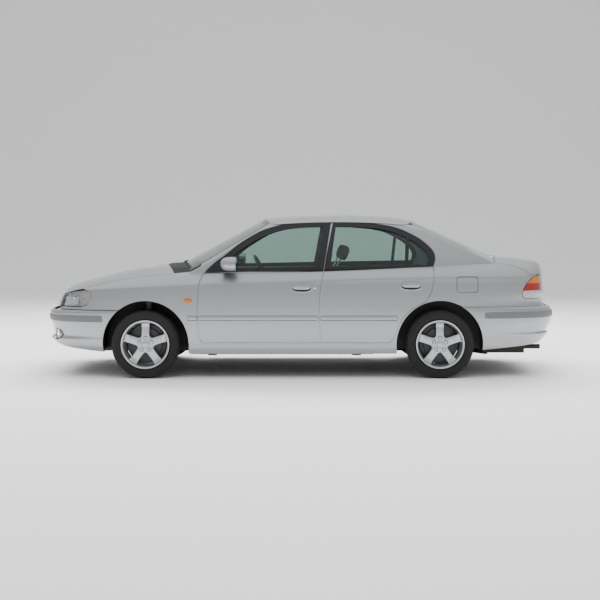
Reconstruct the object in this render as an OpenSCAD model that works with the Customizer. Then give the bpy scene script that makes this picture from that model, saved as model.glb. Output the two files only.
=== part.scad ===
// Four-door sedan car. X runs rearwards, Y to the car's right, Z up; the origin is on the ground
// under the middle of the car. The body is one curved hull; its panels are cut from the hull's wall.

/* [Body] */
// Overall length
length = 4660; // [4400:10:4900]
// Width over the doors
width = 1690; // [1600:10:1800]
// Height of the roof above the ground
height = 1462; // [1400:2:1560]
// Distance from the front axle to the rear axle
wheelbase = 2620; // [2500:10:2760]
// Distance from the front of the bumper to the front axle
front_overhang = 945; // [880:5:1020]

/* [Walls and gaps] */
// Gap between two neighbouring panels
panel_gap = 6; // [5:0.5:8]
// Width of the thin flange round a door or lid
flange_w = 24; // [20:1:28]
// Thickness of that flange
flange_t = 9; // [7:0.5:11]
// Thickness of a wing or bumper cover with its inner skin
skin_t = 26; // [20:1:32]
// Thickness of the bonnet, roof and boot lid with their inner panels
lid_t = 36; // [30:1:42]
// Thickness of a window frame or roof pillar
pillar_t = 46; // [40:1:54]
// Thickness of a door below its window
door_t = 118; // [100:2:130]
// Thickness of a pane of glass
glass_t = 5; // [4:0.5:6]

/* [Wheels] */
// Outer radius of a tyre
tyre_r = 302; // [290:1:312]
// Width of a tyre
tyre_w = 205; // [185:5:215]
// Outer radius of a rim's flange
rim_r = 216; // [205:1:222]
// Distance between the middles of the left and right tyres
track = 1480; // [1420:5:1500]
// Radius of a wheel arch
arch_r = 386; // [370:2:396]
// Radius of a hub spindle
spindle_r = 18; // [15:0.5:22]
// Number of wheel spokes
spokes = 5; // [4:1:7]

/* [Hidden] */

silver = [0.72, 0.73, 0.75];
black = [0.08, 0.08, 0.09];
grey = [0.3, 0.31, 0.33];
tint = [0.62, 0.76, 0.72, 0.5];

front_x = -length / 2 + front_overhang;
rear_x = front_x + wheelbase;
axle_z = tyre_r;
wheel_y = track / 2;
running = 0.05;
near = 0.3;

// ---- Scales: the body's tables are drawn at one size and these carry them to the size asked for.
function wx(u) = lookup(u, [[-4330, -length / 2 - 2000], [-2330, -length / 2], [-1385, front_x], [1235, rear_x],
    [2330, length / 2], [4330, length / 2 + 2000]]);
function wy(v) = v * width / 1690;
function wz(w) = w * height / 1462;
function side_point(p) = [wx(p[0]), wz(p[1])];
function plan_point(p) = [wx(p[0]), wy(p[1])];

// ---- Curves
// Slope of a table's curve at its row k
function row_slope(t, k) =
    let (a = max(k - 1, 0), b = min(k + 1, len(t) - 1)) (t[b][1] - t[a][1]) / (t[b][0] - t[a][0]);
// Smooth value of a table at x, held flat beyond its ends
function smooth(x, t) =
    x <= t[0][0] ? t[0][1] : x >= t[len(t) - 1][0] ? t[len(t) - 1][1] :
    let (k = max([for (i = [0:len(t) - 2]) if (t[i][0] <= x) i]),
        h = t[k + 1][0] - t[k][0], s = (x - t[k][0]) / h,
        m0 = row_slope(t, k) * h, m1 = row_slope(t, k + 1) * h)
    t[k][1] * (2 * s * s * s - 3 * s * s + 1) + m0 * (s * s * s - 2 * s * s + s)
        + t[k + 1][1] * (3 * s * s - 2 * s * s * s) + m1 * (s * s * s - s * s);
// Open curve through points, in n steps a span
function through(p, n = 4) = concat([for (k = [0:len(p) - 2], i = [0:n - 1])
    let (s = i / n, a = p[max(k - 1, 0)], b = p[k], c = p[k + 1], d = p[min(k + 2, len(p) - 1)])
    b + (c - a) * s / 2 + (a - 2.5 * b + 2 * c - 0.5 * d) * s * s
        + (1.5 * b - 0.5 * a + 0.5 * d - 1.5 * c) * s * s * s], [p[len(p) - 1]]);

// ---- The hull below the windows
plan_power = 5;
// Forward reach, rearward reach and half width of the hull at each height
nose_x = [[200, 2120], [240, 2180], [265, 2230], [290, 2280], [334, 2318], [365, 2294], [395, 2298], [447, 2314],
    [500, 2326], [580, 2330], [600, 2300], [606, 2274], [640, 2262], [700, 2240], [760, 2205], [850, 2150], [1180, 2000]];
tail_x = [[200, 2110], [228, 2150], [290, 2220], [325, 2252], [375, 2294], [405, 2284], [430, 2297], [490, 2324],
    [580, 2330], [606, 2320], [622, 2304], [640, 2254], [766, 2255], [900, 2240], [960, 2225], [1030, 2198], [1180, 2140]];
half_y = [[200, 790], [228, 808], [270, 826], [312, 828], [420, 840], [540, 845], [700, 843], [800, 838], [860, 834], [1180, 834]];
// Height of the shoulder crease and of the middle of the bonnet and boot along the car
shoulder_z = [[-2330, 600], [-2250, 655], [-2200, 700], [-2150, 735], [-2080, 762], [-1950, 779], [-1870, 785],
    [-1000, 826], [-600, 842], [1100, 893], [1900, 888], [2150, 885], [2330, 880]];
middle_z = [[-2330, 606], [-2262, 668], [-2230, 716], [-2190, 768], [-2100, 814], [-2000, 846], [-1800, 900],
    [-1650, 936], [-1460, 967], [-1268, 994], [-1100, 1018], [-850, 1040], [-400, 1056], [0, 1062], [600, 1064],
    [1170, 1066], [1600, 1076], [1828, 1072], [2022, 1054], [2150, 1040], [2215, 1022], [2330, 980]];

function reach(w, front, t) = smooth(w, front ? nose_x : tail_x) - t;
function hull_y(u, w, t) =
    let (a = reach(w, u < 0, t), r = min(abs(u) / a, 1))
    (smooth(w, half_y) - t) * pow(max(1 - pow(r, plan_power), 0), 1 / plan_power);
hull_levels = [200, 228, 262, 290, 334, 365, 400, 430, 495, 580, 606, 640, 720, 860, 1180];
inner_levels = [200, 290, 400, 495, 580, 640, 860, 1180];
hull_turns = [0, 14, 26, 35, 43, 50, 58, 65, 72, 78, 84];
inner_turns = [0, 20, 36, 46, 57, 69, 80];

// Solid whose plan is a rounded oblong at every height, t inside the outer skin
module skirt(t = 0) {
    // Turns crowd towards the corners; hidden inner faces have fewer
    first = t > 10 ? inner_turns : hull_turns;
    last = [for (k = [len(first) - 1:-1:1]) 180 - first[k]];
    half = concat(first, [90], last);
    turns = concat(half, [for (q = half) 180 + q]);
    rings = [for (w = t > 10 ? inner_levels : hull_levels) [for (q = turns)
        let (c = cos(q), s = sin(q), a = reach(w, c < 0, t), b = smooth(w, half_y) - t)
        [wx(sign(c) * a * pow(abs(c), 2 / plan_power)), wy(sign(s) * b * pow(abs(s), 2 / plan_power)), wz(w)]]];
    loft(rings);
}
// Closed solid through rings that all have the same number of points
module loft(rings_in, flip = false) {
    rings = flip ? [for (k = [len(rings_in) - 1:-1:0]) rings_in[k]] : rings_in;
    n = len(rings[0]);
    m = len(rings);
    polyhedron([for (r = rings) each r], concat(
        [for (i = [0:m - 2], j = [0:n - 1]) each [
            [i * n + j, (i + 1) * n + j, (i + 1) * n + (j + 1) % n],
            [i * n + j, (i + 1) * n + (j + 1) % n, i * n + (j + 1) % n]]],
        [[for (j = [0:n - 1]) j], [for (j = [n - 1:-1:0]) (m - 1) * n + j]]), convexity = 6);
}
deck_stations = [-2400, -2330, -2262, -2230, -2190, -2154, -2089, -2013, -1924, -1827, -1691, -1545, -1363, -1262,
    -1162, -1020, -883, -440, 0, 440, 883, 1162, 1363, 1545, 1691, 1827, 1924, 2013, 2089, 2154, 2190, 2215, 2260, 2330, 2400];
deck_shares = [0, 0.4, 0.68, 0.85, 0.95, 1];
inner_stations = [-2400, -2262, -2190, -2100, -1900, -1550, -1262, -900, 0, 1000, 1600, 1828, 2120, 2215, 2330, 2400];
inner_shares = [0, 0.6, 0.92, 1];
crown_root = 0.8;
// How squarely the bonnet and boot surface falls to the shoulder along the car
function crown_power(u) = lookup(u, [[-1000, 3.8], [200, 4.6], [1176, 5], [1600, 6]]);
function crease_y(u, t) = max(hull_y(u, smooth(u, shoulder_z), t), 2);
function deck_z(u, share, t) =
    let (low = smooth(u, shoulder_z) - t * 0.4, top = smooth(u, middle_z) - t)
    low + (top - low) * pow(max(1 - pow(share, crown_power(u)), 0), crown_root);
// Solid under the bonnet, shoulder and boot surface
module under_deck(t = 0) {
    half = t > 10 ? inner_shares : deck_shares;
    shares = concat([for (k = [len(half) - 1:-1:1]) -half[k]], half);
    loft([for (u = t > 10 ? inner_stations : deck_stations) let (yc = crease_y(u, t)) [
        for (p = concat([[-1000, 0], [-1000, deck_z(u, 1, t) + yc - 1000]],
            [for (s = shares) [s * yc, deck_z(u, abs(s), t)]],
            [[1000, deck_z(u, 1, t) + yc - 1000], [1000, 0]])) [wx(u), wy(p[0]), wz(p[1])]]], true);
}
module body_hull(t = 0) {
    intersection() {
        skirt(t);
        under_deck(t);
    }
}

// ---- The cabin above the belt
roof_z = [[-1400, 1250], [-700, 1352], [-360, 1421], [-200, 1443], [0, 1456], [250, 1462], [500, 1461], [750, 1451],
    [900, 1437], [1054, 1412], [1300, 1360], [2000, 1200]];
// Half width of the side windows' surface
function glass_y(u, w) =
    (770 - 170 * pow(max((w - 950) / 440, 0), 1.25)) * (1 - 0.045 * pow((u - 150) / 1000, 2));
function screen_x(v, w) = -1100 + (w - 1020) * 1.85 + 500 * pow(v / 1000, 2);
function backlight_x(v, w) = 1054 + (1412 - w) * 2.247 - 450 * pow(v / 1000, 2);
function roof_drop(v) = 35 * pow(abs(v) / 600, 2) + 45 * pow(abs(v) / 600, 8);
cabin_ys = [-900, -700, -620, -560, -460, -300, 0, 300, 460, 560, 620, 700, 900];
// Solid between the windscreen and the rear window, each t inside
module between_screens(t = 0) {
    loft([for (v = cabin_ys) let (s = t * 1.9, r = t * 2.2) [
        for (p = [[screen_x(v, 700) + s, 700], [screen_x(v, 1600) + s, 1600],
            [backlight_x(v, 1600) - r, 1600], [backlight_x(v, 700) - r, 700]]) [wx(p[0]), wy(v), wz(p[1])]]]);
}
module between_sides(t = 0) {
    heights = [700, 950, 1010, 1100, 1200, 1300, 1390, 1500];
    loft([for (u = [-1500, -1000, -500, 0, 500, 1000, 1500, 2100]) [
        for (p = concat([for (w = heights) [glass_y(u, w) - t, w]],
            [for (k = [len(heights) - 1:-1:0]) [t - glass_y(u, heights[k]), heights[k]]])) [wx(u), wy(p[0]), wz(p[1])]]]);
}
module under_roof(t = 0) {
    loft([for (u = [-1400, -700, -360, -240, -100, 100, 300, 520, 750, 900, 1054, 1300, 2000]) [
        for (p = concat([for (v = cabin_ys) [v, smooth(u, roof_z) - roof_drop(min(abs(v), 700)) - t]], [[900, 650], [-900, 650]]))
            [wx(u), wy(p[0]), wz(p[1])]]], true);
}
module cabin_hull(t = 0) {
    intersection() {
        between_screens(t);
        between_sides(t);
        under_roof(t);
    }
}
module car_hull(t = 0) {
    body_hull(t);
    cabin_hull(t);
}

// ---- Cutting tools
// One cut panel: its curved faces are taken together as a single surface
module panel(c) {
    color(c) resize([0, 0, 0]) children();
}
// Outline in X and Z carried across the car from y0 to y1
module across(y0, y1) {
    rotate([90, 0, 0]) translate([0, 0, -y1]) linear_extrude(y1 - y0) children();
}
module left_half(y0 = -1100, y1 = -300) {
    across(y0, y1) children();
}
module block(x0, x1, y0, y1, z0, z1) {
    translate([x0, y0, z0]) cube([x1 - x0, y1 - y0, z1 - z0]);
}
module right_of(right) {
    if (right) mirror([0, 1, 0]) children();
    else children();
}
wall_y = 845 - door_t;
cabin_front = -1190;
cabin_rear = 1470;
// Everything hollow: engine bay, cabin and boot
module hollow() {
    cabin_hull(pillar_t);
    block(wx(cabin_front), wx(cabin_rear), -wy(wall_y), wy(wall_y), wz(250), wz(935));
    intersection() {
        body_hull(skin_t);
        block(-length, wx(cabin_front) + 10, -1000, 1000, 0, 1600);
    }
    intersection() {
        body_hull(skin_t * 1.4);
        block(wx(cabin_rear) - 30, wx(2205), -wy(700), wy(700), wz(300), 1600);
    }
}
module hollow_car() {
    difference() {
        car_hull();
        hollow();
    }
}
module skin(t) {
    difference() {
        car_hull();
        car_hull(t);
    }
}
module arch(x, grow = 0) {
    translate([x, axle_z]) circle(arch_r + grow, $fn = 96);
}

// ---- Door outlines, in X and Z
belt_front = [-868, 938];
belt_split = [204, 968];
belt_rear = [1183, 982];
split_top = [274, 1389];
frame_front = [[-868, 938], [-791, 1014], [-690, 1089], [-562, 1192], [-440, 1268], [-332, 1322], [-158, 1368], [60, 1386], [274, 1389]];
frame_rear = [[274, 1389], [522, 1386], [731, 1367], [871, 1337], [974, 1294], [1077, 1236], [1165, 1160], [1200, 1105], [1206, 1050], [1183, 982]];
front_edge = [[-862, 318], [-894, 345], [-912, 430], [-919, 560], [-917, 700], [-904, 850], [-868, 938]];
split_edge = [[204, 968], [176, 830], [162, 690], [160, 560], [168, 430], [186, 318]];
rear_edge = [[1183, 982], [1180, 890], [1160, 785], [1118, 698], [1050, 655], [974, 608], [905, 545], [858, 460], [832, 380], [790, 318]];

module front_door_outline() {
    polygon([for (p = concat(through(front_edge), through(frame_front), through(split_edge))) side_point(p)]);
}
module rear_door_outline() {
    polygon([for (p = concat(through([for (k = [len(split_edge) - 1:-1:0]) split_edge[k]]), through(frame_rear),
        through(rear_edge))) side_point(p)]);
}
module front_pane_outline() {
    polygon([for (p = concat([[-640, 974]], through([[-640, 1060], [-545, 1136], [-410, 1222], [-290, 1284], [-130, 1328], [70, 1346], [200, 1349]]),
        [[135, 990]])) side_point(p)]);
}
module rear_pane_outline() {
    polygon([for (p = concat([[262, 992], [315, 1350]], through([[522, 1346], [715, 1328], [850, 1296], [938, 1258], [950, 1252]]),
        [[932, 1004]])) side_point(p)]);
}
module quarter_pane_outline() {
    polygon([for (p = concat([[960, 1005], [978, 1236]], through([[1045, 1194], [1110, 1136], [1142, 1090], [1144, 1040], [1128, 1008]])))
        side_point(p)]);
}
module door_outline(front) {
    if (front) front_door_outline();
    else rear_door_outline();
}
module pane_outline(front) {
    if (front) front_pane_outline();
    else {
        rear_pane_outline();
        quarter_pane_outline();
    }
}
module door(front) {
    difference() {
        union() {
            intersection() {
                skin(flange_t);
                left_half() offset(delta = -panel_gap / 2) door_outline(front);
            }
            intersection() {
                hollow_car();
                left_half() offset(delta = -flange_w) door_outline(front);
            }
        }
        left_half() pane_outline(front);
    }
}
module door_spaces() {
    difference() {
        left_half() for (front = [true, false]) offset(delta = panel_gap / 2 + running) door_outline(front);
        car_hull(flange_t + near);
    }
    left_half() for (front = [true, false]) offset(delta = panel_gap - flange_w) door_outline(front);
}
module door_pane(front) {
    intersection() {
        difference() {
            cabin_hull(12);
            cabin_hull(12 + glass_t);
        }
        left_half() offset(delta = -near) pane_outline(front);
    }
}

// ---- Regions of the other panels
bumper_top = 604;
tail_bumper_top = 636;
bonnet_half = [[-2330, 830], [-1990, 830], [-1960, 705], [-1807, 692], [-1553, 690], [-1323, 694], [-1143, 702]];
bonnet_front = [[-2400, 738], [-2200, 742], [-2120, 762], [-2050, 776], [-1960, 786], [-1900, 795], [-1700, 815], [-1000, 850]];
bonnet_back = -1262;
function bonnet_rear_x(v) = bonnet_back + 250 * pow(v / 1000, 2);
module bonnet_plan() {
    edge = [for (p = bonnet_half) plan_point(p)];
    back = [for (v = [700:-100:-700]) plan_point([bonnet_rear_x(v), v])];
    polygon(concat(edge, back, [for (k = [len(edge) - 1:-1:0]) [edge[k][0], -edge[k][1]]]));
}
module bonnet_space(g) {
    intersection() {
        translate([0, 0, wz(600)]) linear_extrude(600) offset(delta = g) bonnet_plan();
        across(-1000, 1000) offset(delta = g) polygon(concat([for (p = bonnet_front) side_point(p)], [[-800, 1400], [-2500, 1400]]));
    }
}
module cowl_space() {
    difference() {
        translate([0, 0, wz(800)]) linear_extrude(250) polygon([for (p = concat(
            [for (v = [-702:117:702]) [bonnet_rear_x(v), v]], [[-900, 702], [-900, -702]])) plan_point(p)]);
        bonnet_space(panel_gap / 2);
    }
}
// Heights of the boot lid's lower edge between the tail lamps and above them
boot_low = 668;
boot_step = 912;
boot_front = [[1752, 655], [1755, 600], [1789, 400], [1838, 0]];
module boot_plan() {
    side = through([for (p = boot_front) plan_point(p)]);
    polygon(concat(side, [for (k = [len(side) - 1:-1:0]) [side[k][0], -side[k][1]]],
        [[wx(2160), -wy(655)], [wx(2240), -wy(560)], [length, -wy(548)], [length, wy(548)], [wx(2240), wy(560)], [wx(2160), wy(655)]]));
}
module boot_space(g) {
    intersection() {
        translate([0, 0, wz(boot_low) - g]) linear_extrude(800) offset(delta = g) boot_plan();
        union() {
            block(wx(1500), 3000, -1000, 1000, wz(boot_step) - g, 1600);
            block(wx(2100) - g, 3000, -wy(548) - g, wy(548) + g, wz(boot_low) - g, 1600);
        }
    }
}
lamp_side = [[-2400, 628], [-1975, 628], [-1915, 648], [-1880, 690], [-1868, 730], [-1880, 762], [-1925, 779], [-1990, 776], [-2080, 764], [-2150, 742], [-2400, 736]];
module headlamp_space(g) {
    intersection() {
        left_half(-1100, -wy(385) + g) offset(delta = g) polygon([for (p = lamp_side) side_point(p)]);
        translate([0, 0, 500]) linear_extrude(500) translate([wx(-2600), -1200]) square([wx(-1800) - wx(-2600), 1200]);
    }
}
tail_side = [[2400, 700], [2012, 700], [1992, 722], [1988, 752], [2005, 800], [2045, 855], [2100, 893], [2160, 908], [2400, 908]];
module tail_lamp_space(g) {
    left_half(-1100, -wy(560) + g) offset(delta = g) polygon([for (p = tail_side) side_point(p)]);
}
flap_t = 12;
flap_corner = [1383, 765];
flap_size = [190, 137];
module flap_outline() {
    r = 25;
    c = side_point(flap_corner);
    translate(c + [r, r]) offset(r = r, $fn = 24) square(flap_size - [2 * r, 2 * r]);
}
// The wing's outline runs a little behind the door's front edge, and the door's gap trims it
wing_lap = 15;
wing_outline = concat([[-2400, 604], [-1500, 604], [-1000, 312], [-862, 312]],
    [for (k = [1:len(front_edge) - 1]) front_edge[k] + [wing_lap, 0]], [[-880, 960], [-960, 1010], [-2400, 1010]]);
module wing_space() {
    difference() {
        left_half(-1100, -wy(480)) difference() {
            polygon([for (p = wing_outline) side_point(p)]);
            arch(front_x);
        }
        bonnet_space(panel_gap / 2);
        headlamp_space(panel_gap / 2);
        cowl_space();
        block(-3000, wx(-2010), -wy(600), wy(600), 0, 2000);
        block(-3000, wx(-1945), -wy(730), wy(730), wz(735), 2000);
        left_half() offset(delta = panel_gap / 2) front_door_outline();
    }
}
module front_bumper_outline() {
    difference() {
        polygon([for (p = [[-2400, 262], [-2190, 262], [-1766, 228], [-1385, 228], [-1385, bumper_top - 6], [-2400, bumper_top - 6]]) side_point(p)]);
        arch(front_x);
    }
}
module rear_bumper_outline() {
    difference() {
        polygon([for (p = [[2400, 300], [2150, 290], [1630, 250], [1235, 250], [1235, tail_bumper_top - 4], [2400, tail_bumper_top - 4]]) side_point(p)]);
        arch(rear_x);
    }
}
header_front = [[-352, 0], [-330, 300], [-290, 540], [-240, 585]];
header_rear = [[1060, 0], [1045, 300], [990, 540], [930, 585]];
module roof_plan() {
    f = through([for (p = header_front) plan_point(p)]);
    r = through([for (k = [len(header_rear) - 1:-1:0]) plan_point(header_rear[k])]);
    half = concat(f, [plan_point([300, 592])], r);
    polygon(concat(half, [for (k = [len(half) - 2:-1:1]) [half[k][0], -half[k][1]]]));
}
module roof_space(g) {
    translate([0, 0, wz(1290)]) linear_extrude(400) offset(delta = g) roof_plan();
}
// Windscreen and rear window: seen along the car, between the pillars
screen_front = [[0, 900], [720, 900], [672, 962], [560, 1350], [520, 1402], [0, 1420]];
module screen_space(g, back) {
    difference() {
        rotate([90, 0, 90]) translate([0, 0, back ? wx(900) : wx(-1300)]) linear_extrude(1100)
            offset(delta = g) polygon(concat([for (p = screen_front) [wy(p[0]), wz(p[1])]],
                [for (k = [len(screen_front) - 1:-1:0]) [-wy(screen_front[k][0]), wz(screen_front[k][1])]]));
        roof_space(panel_gap);
    }
}
module window_pane(back) {
    intersection() {
        difference() {
            cabin_hull(2);
            cabin_hull(2 + glass_t);
        }
        difference() {
            cabin_hull(2);
            between_screens(2 + glass_t);
        }
        screen_space(-near, back);
        difference() {
            block(-3000, 3000, -1000, 1000, 900, 2000);
            body_hull(back ? -near : cowl_drop - near);
        }
    }
}
// How far the cowl's top lies below the hull
cowl_drop = 3;
module body_side() {
    difference() {
        union() {
            intersection() {
                hollow_car();
                block(wx(cabin_front) + 20, wx(2215), -1100, -wy(500), wz(228), 1600);
            }
            // Foot of the windscreen pillar
            intersection() {
                car_hull(flange_t);
                block(wx(-1020), wx(-860), -wy(800), -wy(693), wz(880), wz(980));
            }
        }
        block(-3000, wx(cabin_rear), -wy(wall_y) - 1, 0, 0, wz(260));
        block(-3000, wx(-900), -wy(725), 0, 0, wz(880));
        difference() {
            wing_space();
            car_hull(skin_t + near);
        }
        left_half() polygon([for (p = [[-2400, 200], [-1000, 200], [-1000, 312], [-2400, 320]]) side_point(p)]);
        for (x = [front_x, rear_x]) {
            left_half(-1100, -200) arch(x, 3);
            left_half(-wy(762) - 3, -200) arch(x, liner_grow + near);
        }
        bonnet_space(panel_gap);
        cowl_space();
        roof_space(0);
        screen_space(0, false);
        screen_space(0, true);
        boot_space(panel_gap / 2);
        tail_lamp_space(panel_gap / 2);
        left_half() rear_bumper_cut();
        door_spaces();
        difference() {
            left_half() offset(delta = panel_gap / 2) flap_outline();
            car_hull(flap_t + near);
        }
    }
}
liner_grow = 22;
module rear_bumper_cut() {
    offset(delta = 3) rear_bumper_outline();
    polygon([for (p = [[1500, 150], [2400, 150], [2400, 310], [1500, 300]]) side_point(p)]);
}

// ---- Body nodes
// How far inboard each wheel well reaches
front_well = 455;
rear_well = 585;
// Jacking pads: their places along the car, and how far they stand below the floor
jack_at = [-800, 500];
jack_drop = 14;
module floor_pan() {
    side = wy(wall_y) - near;
    color(grey) difference() {
        union() {
            block(wx(cabin_front), wx(650), -side, side, wz(205), wz(245));
            block(wx(cabin_front), wx(cabin_front) + 22, -side, side, wz(205), wz(850));
            block(wx(626), wx(650), -side, side, wz(205), wz(430));
            block(wx(626), wx(1440) - near, -side, side, wz(400), wz(430));
            block(wx(1400), wx(2180), near - wy(500), wy(500) - near, wz(400), wz(430));
            block(wx(2150), wx(2180), near - wy(500), wy(500) - near, wz(380), wz(656));
            block(wx(-1150), wx(640), -115, 115, wz(245), wz(330));
            for (s = [-1, 1], x = jack_at) block(wx(x) - 40, wx(x) + 40, s * 660 - 30, s * 660 + 30, wz(205) - jack_drop, wz(210));
        }
        block(wx(-1200), wx(620), -90, 90, wz(150), wz(305));
        for (s = [-1, 1], e = [[front_x, front_well], [rear_x, rear_well]])
            translate([e[0], s * (e[1] - near + 500), axle_z]) rotate([90, 0, 0])
                cylinder(r = arch_r + liner_grow + near, h = 1000, center = true, $fn = 96);
    }
}
module roof_panel() {
    panel(silver) difference() {
        intersection() {
            difference() {
                cabin_hull();
                cabin_hull(lid_t);
            }
            roof_space(-near);
        }
        for (right = [false, true]) right_of(right) door_spaces();
    }
}
module front_wing() {
    panel(silver) intersection() {
        skin(skin_t);
        wing_space();
    }
}
module front_bumper() {
    panel(silver) difference() {
        intersection() {
            difference() {
                body_hull();
                body_hull(skin_t);
            }
            across(-1000, 1000) front_bumper_outline();
        }
        block(-3000, wx(-2000), -wy(430), wy(430), wz(300), wz(352));
        block(-3000, wx(-2000), -wy(400), wy(400), wz(376), wz(420));
        for (s = [-1, 1]) fog_place(s) cylinder(r = fog_r + 6, h = 400, center = true, $fn = 32);
    }
}
fog_r = 48;
module fog_place(s) {
    translate([wx(-2165), s * wy(590), wz(378)]) rotate([0, -90, -s * 24]) children();
}
module fog_lamps() {
    color(tint) for (s = [-1, 1]) fog_place(s) cylinder(r1 = fog_r - 6, r2 = fog_r, h = 46, $fn = 48);
}
module rear_bumper() {
    panel(silver) intersection() {
        difference() {
            body_hull();
            body_hull(skin_t);
        }
        across(-1000, 1000) rear_bumper_outline();
    }
}
module front_panel() {
    // Upright panel between the lamps, with the rails that carry it on both sides of the engine
    x = wx(-2085);
    color(grey) {
        difference() {
            block(x, x + 40, -wy(490), wy(490), wz(250), wz(690));
            for (s = [-1, 1]) block(x - 1, x + 41, s * wy(235) - wy(200), s * wy(235) + wy(200), wz(310), wz(640));
        }
        for (s = [-1, 1]) block(x + 30, wx(cabin_front) - near, s * 430 - 20, s * 430 + 20, wz(380), wz(470));
    }
}
module grille() {
    panel(black) difference() {
        intersection() {
            difference() {
                body_hull(2);
                body_hull(skin_t);
            }
            block(-3000, wx(-2000), -wy(385) - panel_gap / 2 + near, wy(385) + panel_gap / 2 - near, wz(bumper_top), wz(732));
        }
        for (k = [0:3]) block(-3000, wx(-2000), -wy(350), wy(350), wz(618 + k * 27), wz(634 + k * 27));
    }
}
lamp_t = 64;
module headlamps() {
    for (right = [false, true]) right_of(right) panel(tint) intersection() {
        difference() {
            body_hull(1);
            body_hull(lamp_t);
        }
        headlamp_space(-panel_gap / 2);
    }
}
module tail_lamps() {
    for (right = [false, true]) right_of(right) panel([0.7, 0.05, 0.04]) intersection() {
        difference() {
            body_hull(1);
            body_hull(lamp_t);
        }
        tail_lamp_space(-panel_gap / 2);
    }
}
module cowl_panel() {
    panel(black) difference() {
        intersection() {
            difference() {
                body_hull(cowl_drop);
                body_hull(30);
            }
            cowl_space();
        }
        cabin_hull(2 + glass_t + near);
        block(-3000, 3000, -1100, -wy(702) + near, 0, 2000);
        block(-3000, 3000, wy(702) - near, 1100, 0, 2000);
    }
}
// Beams behind both bumpers, with the brackets of the lamps and the grille
module bumper_beams() {
    front_end = wx(-2085) - near;
    tail_end = wx(2180) + near;
    panel(grey) {
        intersection() {
            body_hull(skin_t + near);
            union() {
                block(-3000, front_end, -wy(480), wy(480), wz(500), wz(580));
                block(tail_end, 3000, -wy(500), wy(500), wz(480), wz(600));
                block(-3000, front_end, -40, 40, wz(500), wz(680));
                for (s = [-1, 1]) fog_bracket(s);
            }
        }
        intersection() {
            body_hull(lamp_t + near);
            for (s = [-1, 1]) {
                block(-3000, front_end, s * wy(440) - 40, s * wy(440) + 40, wz(500), wz(670));
                block(wx(2010), wx(2180), s * wy(575) - wy(75), s * wy(575) + wy(75), wz(560), wz(725));
            }
        }
        intersection() {
            body_hull(lid_t + near);
            union() {
                block(tail_end, wx(2260), -40, 40, wz(480), wz(720));
                block(wx(-2120), front_end, -30, 30, wz(500), 1000);
            }
        }
    }
}
module fog_bracket(s) {
    block(wx(-2119), wx(-2085) - near, s * wy(530) - 70, s * wy(530) + 70, wz(340), wz(540));
    fog_place(s) translate([0, 0, -50]) cylinder(r = 30, h = 50 - near, $fn = 32);
}
module bonnet() {
    panel(silver) intersection() {
        difference() {
            body_hull();
            body_hull(lid_t);
        }
        bonnet_space(-panel_gap / 2);
        block(-3000, wx(-1100), -1000, 1000, 0, 2000);
    }
}
module boot_lid() {
    panel(silver) difference() {
        intersection() {
            difference() {
                body_hull();
                body_hull(lid_t);
            }
            boot_space(-panel_gap / 2);
        }
        cabin_hull(-panel_gap);
    }
}
module fuel_flap() {
    panel(silver) intersection() {
        skin(flap_t);
        left_half() offset(delta = -panel_gap / 2) flap_outline();
    }
}
mirror_at = [-655, -845, 1018];
module mirror_shell() {
    color(silver) translate([wx(mirror_at[0]), wy(mirror_at[1]), wz(mirror_at[2])]) {
        hull() {
            translate([-14, -85, 0]) scale([0.75, 1, 1]) sphere(r = 62, $fn = 24);
            translate([-14, 10, 0]) scale([0.75, 1, 1]) sphere(r = 64, $fn = 24);
            translate([66, -36, 0]) cube([18, 190, 122], center = true);
        }
        translate([-20, 50, -28]) cube([50, 120, 30], center = true);
    }
}
module mirror_housing() {
    panel(silver) difference() {
        mirror_shell();
        cabin_hull(-near);
        body_hull(-near);
    }
}

// ---- Running gear
module wheel_liners() {
    out = wy(700);
    wall = 8;
    color(black) for (s = [-1, 1], e = [[front_x, front_well], [rear_x, rear_well]])
        translate([e[0], s * (e[1] + out) / 2, axle_z]) rotate([90, 0, 0]) difference() {
            cylinder(r = arch_r + liner_grow, h = out - e[1], center = true, $fn = 96);
            translate([0, 0, -s * 5]) cylinder(r = arch_r + liner_grow - wall, h = out - e[1], center = true, $fn = 96);
            translate([-600, -860, -400]) cube([1200, 800, 800]);
            translate([-60, -100, -400]) cube([120, 160, 800]);
        }
}
// How far a spindle reaches past the middle of its wheel
spindle_in = 40;
// Wheel with its hub and brake disc, spinning about Y at the origin, face towards -Y
module rim() {
    face = tyre_w / 2 - 12;
    color([0.75, 0.76, 0.78]) rotate([90, 0, 0]) difference() {
        union() {
            rotate_extrude($fn = 96) polygon([[rim_r - 14, -95], [rim_r, -95], [rim_r, -86], [rim_r - 12, -80], [rim_r - 14, -60],
                [rim_r - 30, -30], [rim_r - 30, 20], [rim_r - 14, 60], [rim_r - 12, 80], [rim_r, 86], [rim_r, 95],
                [rim_r - 20, 95], [rim_r - 22, 70], [rim_r - 38, 24], [rim_r - 38, -34], [rim_r - 22, -64], [rim_r - 20, -92]]);
            translate([0, 0, face - 44]) cylinder(r = 78, h = 40, $fn = 48);
            for (k = [0:spokes - 1]) rotate(90 + k * 360 / spokes) translate([0, 0, face - 38])
                linear_extrude(30) polygon([[40, -46], [rim_r - 26, -33], [rim_r - 26, 33], [40, 46]]);
            cylinder(r = 66, h = 60, $fn = 48);
            translate([0, 0, -4]) cylinder(r = 140, h = 22, $fn = 64);
        }
        translate([0, 0, -200]) cylinder(r = spindle_r + running, h = 200 + spindle_in + 4, $fn = 48);
        for (k = [0:4]) rotate(90 + k * 72) translate([50, 0, face - 10]) cylinder(r = 11, h = 20, $fn = 24);
    }
}
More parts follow.
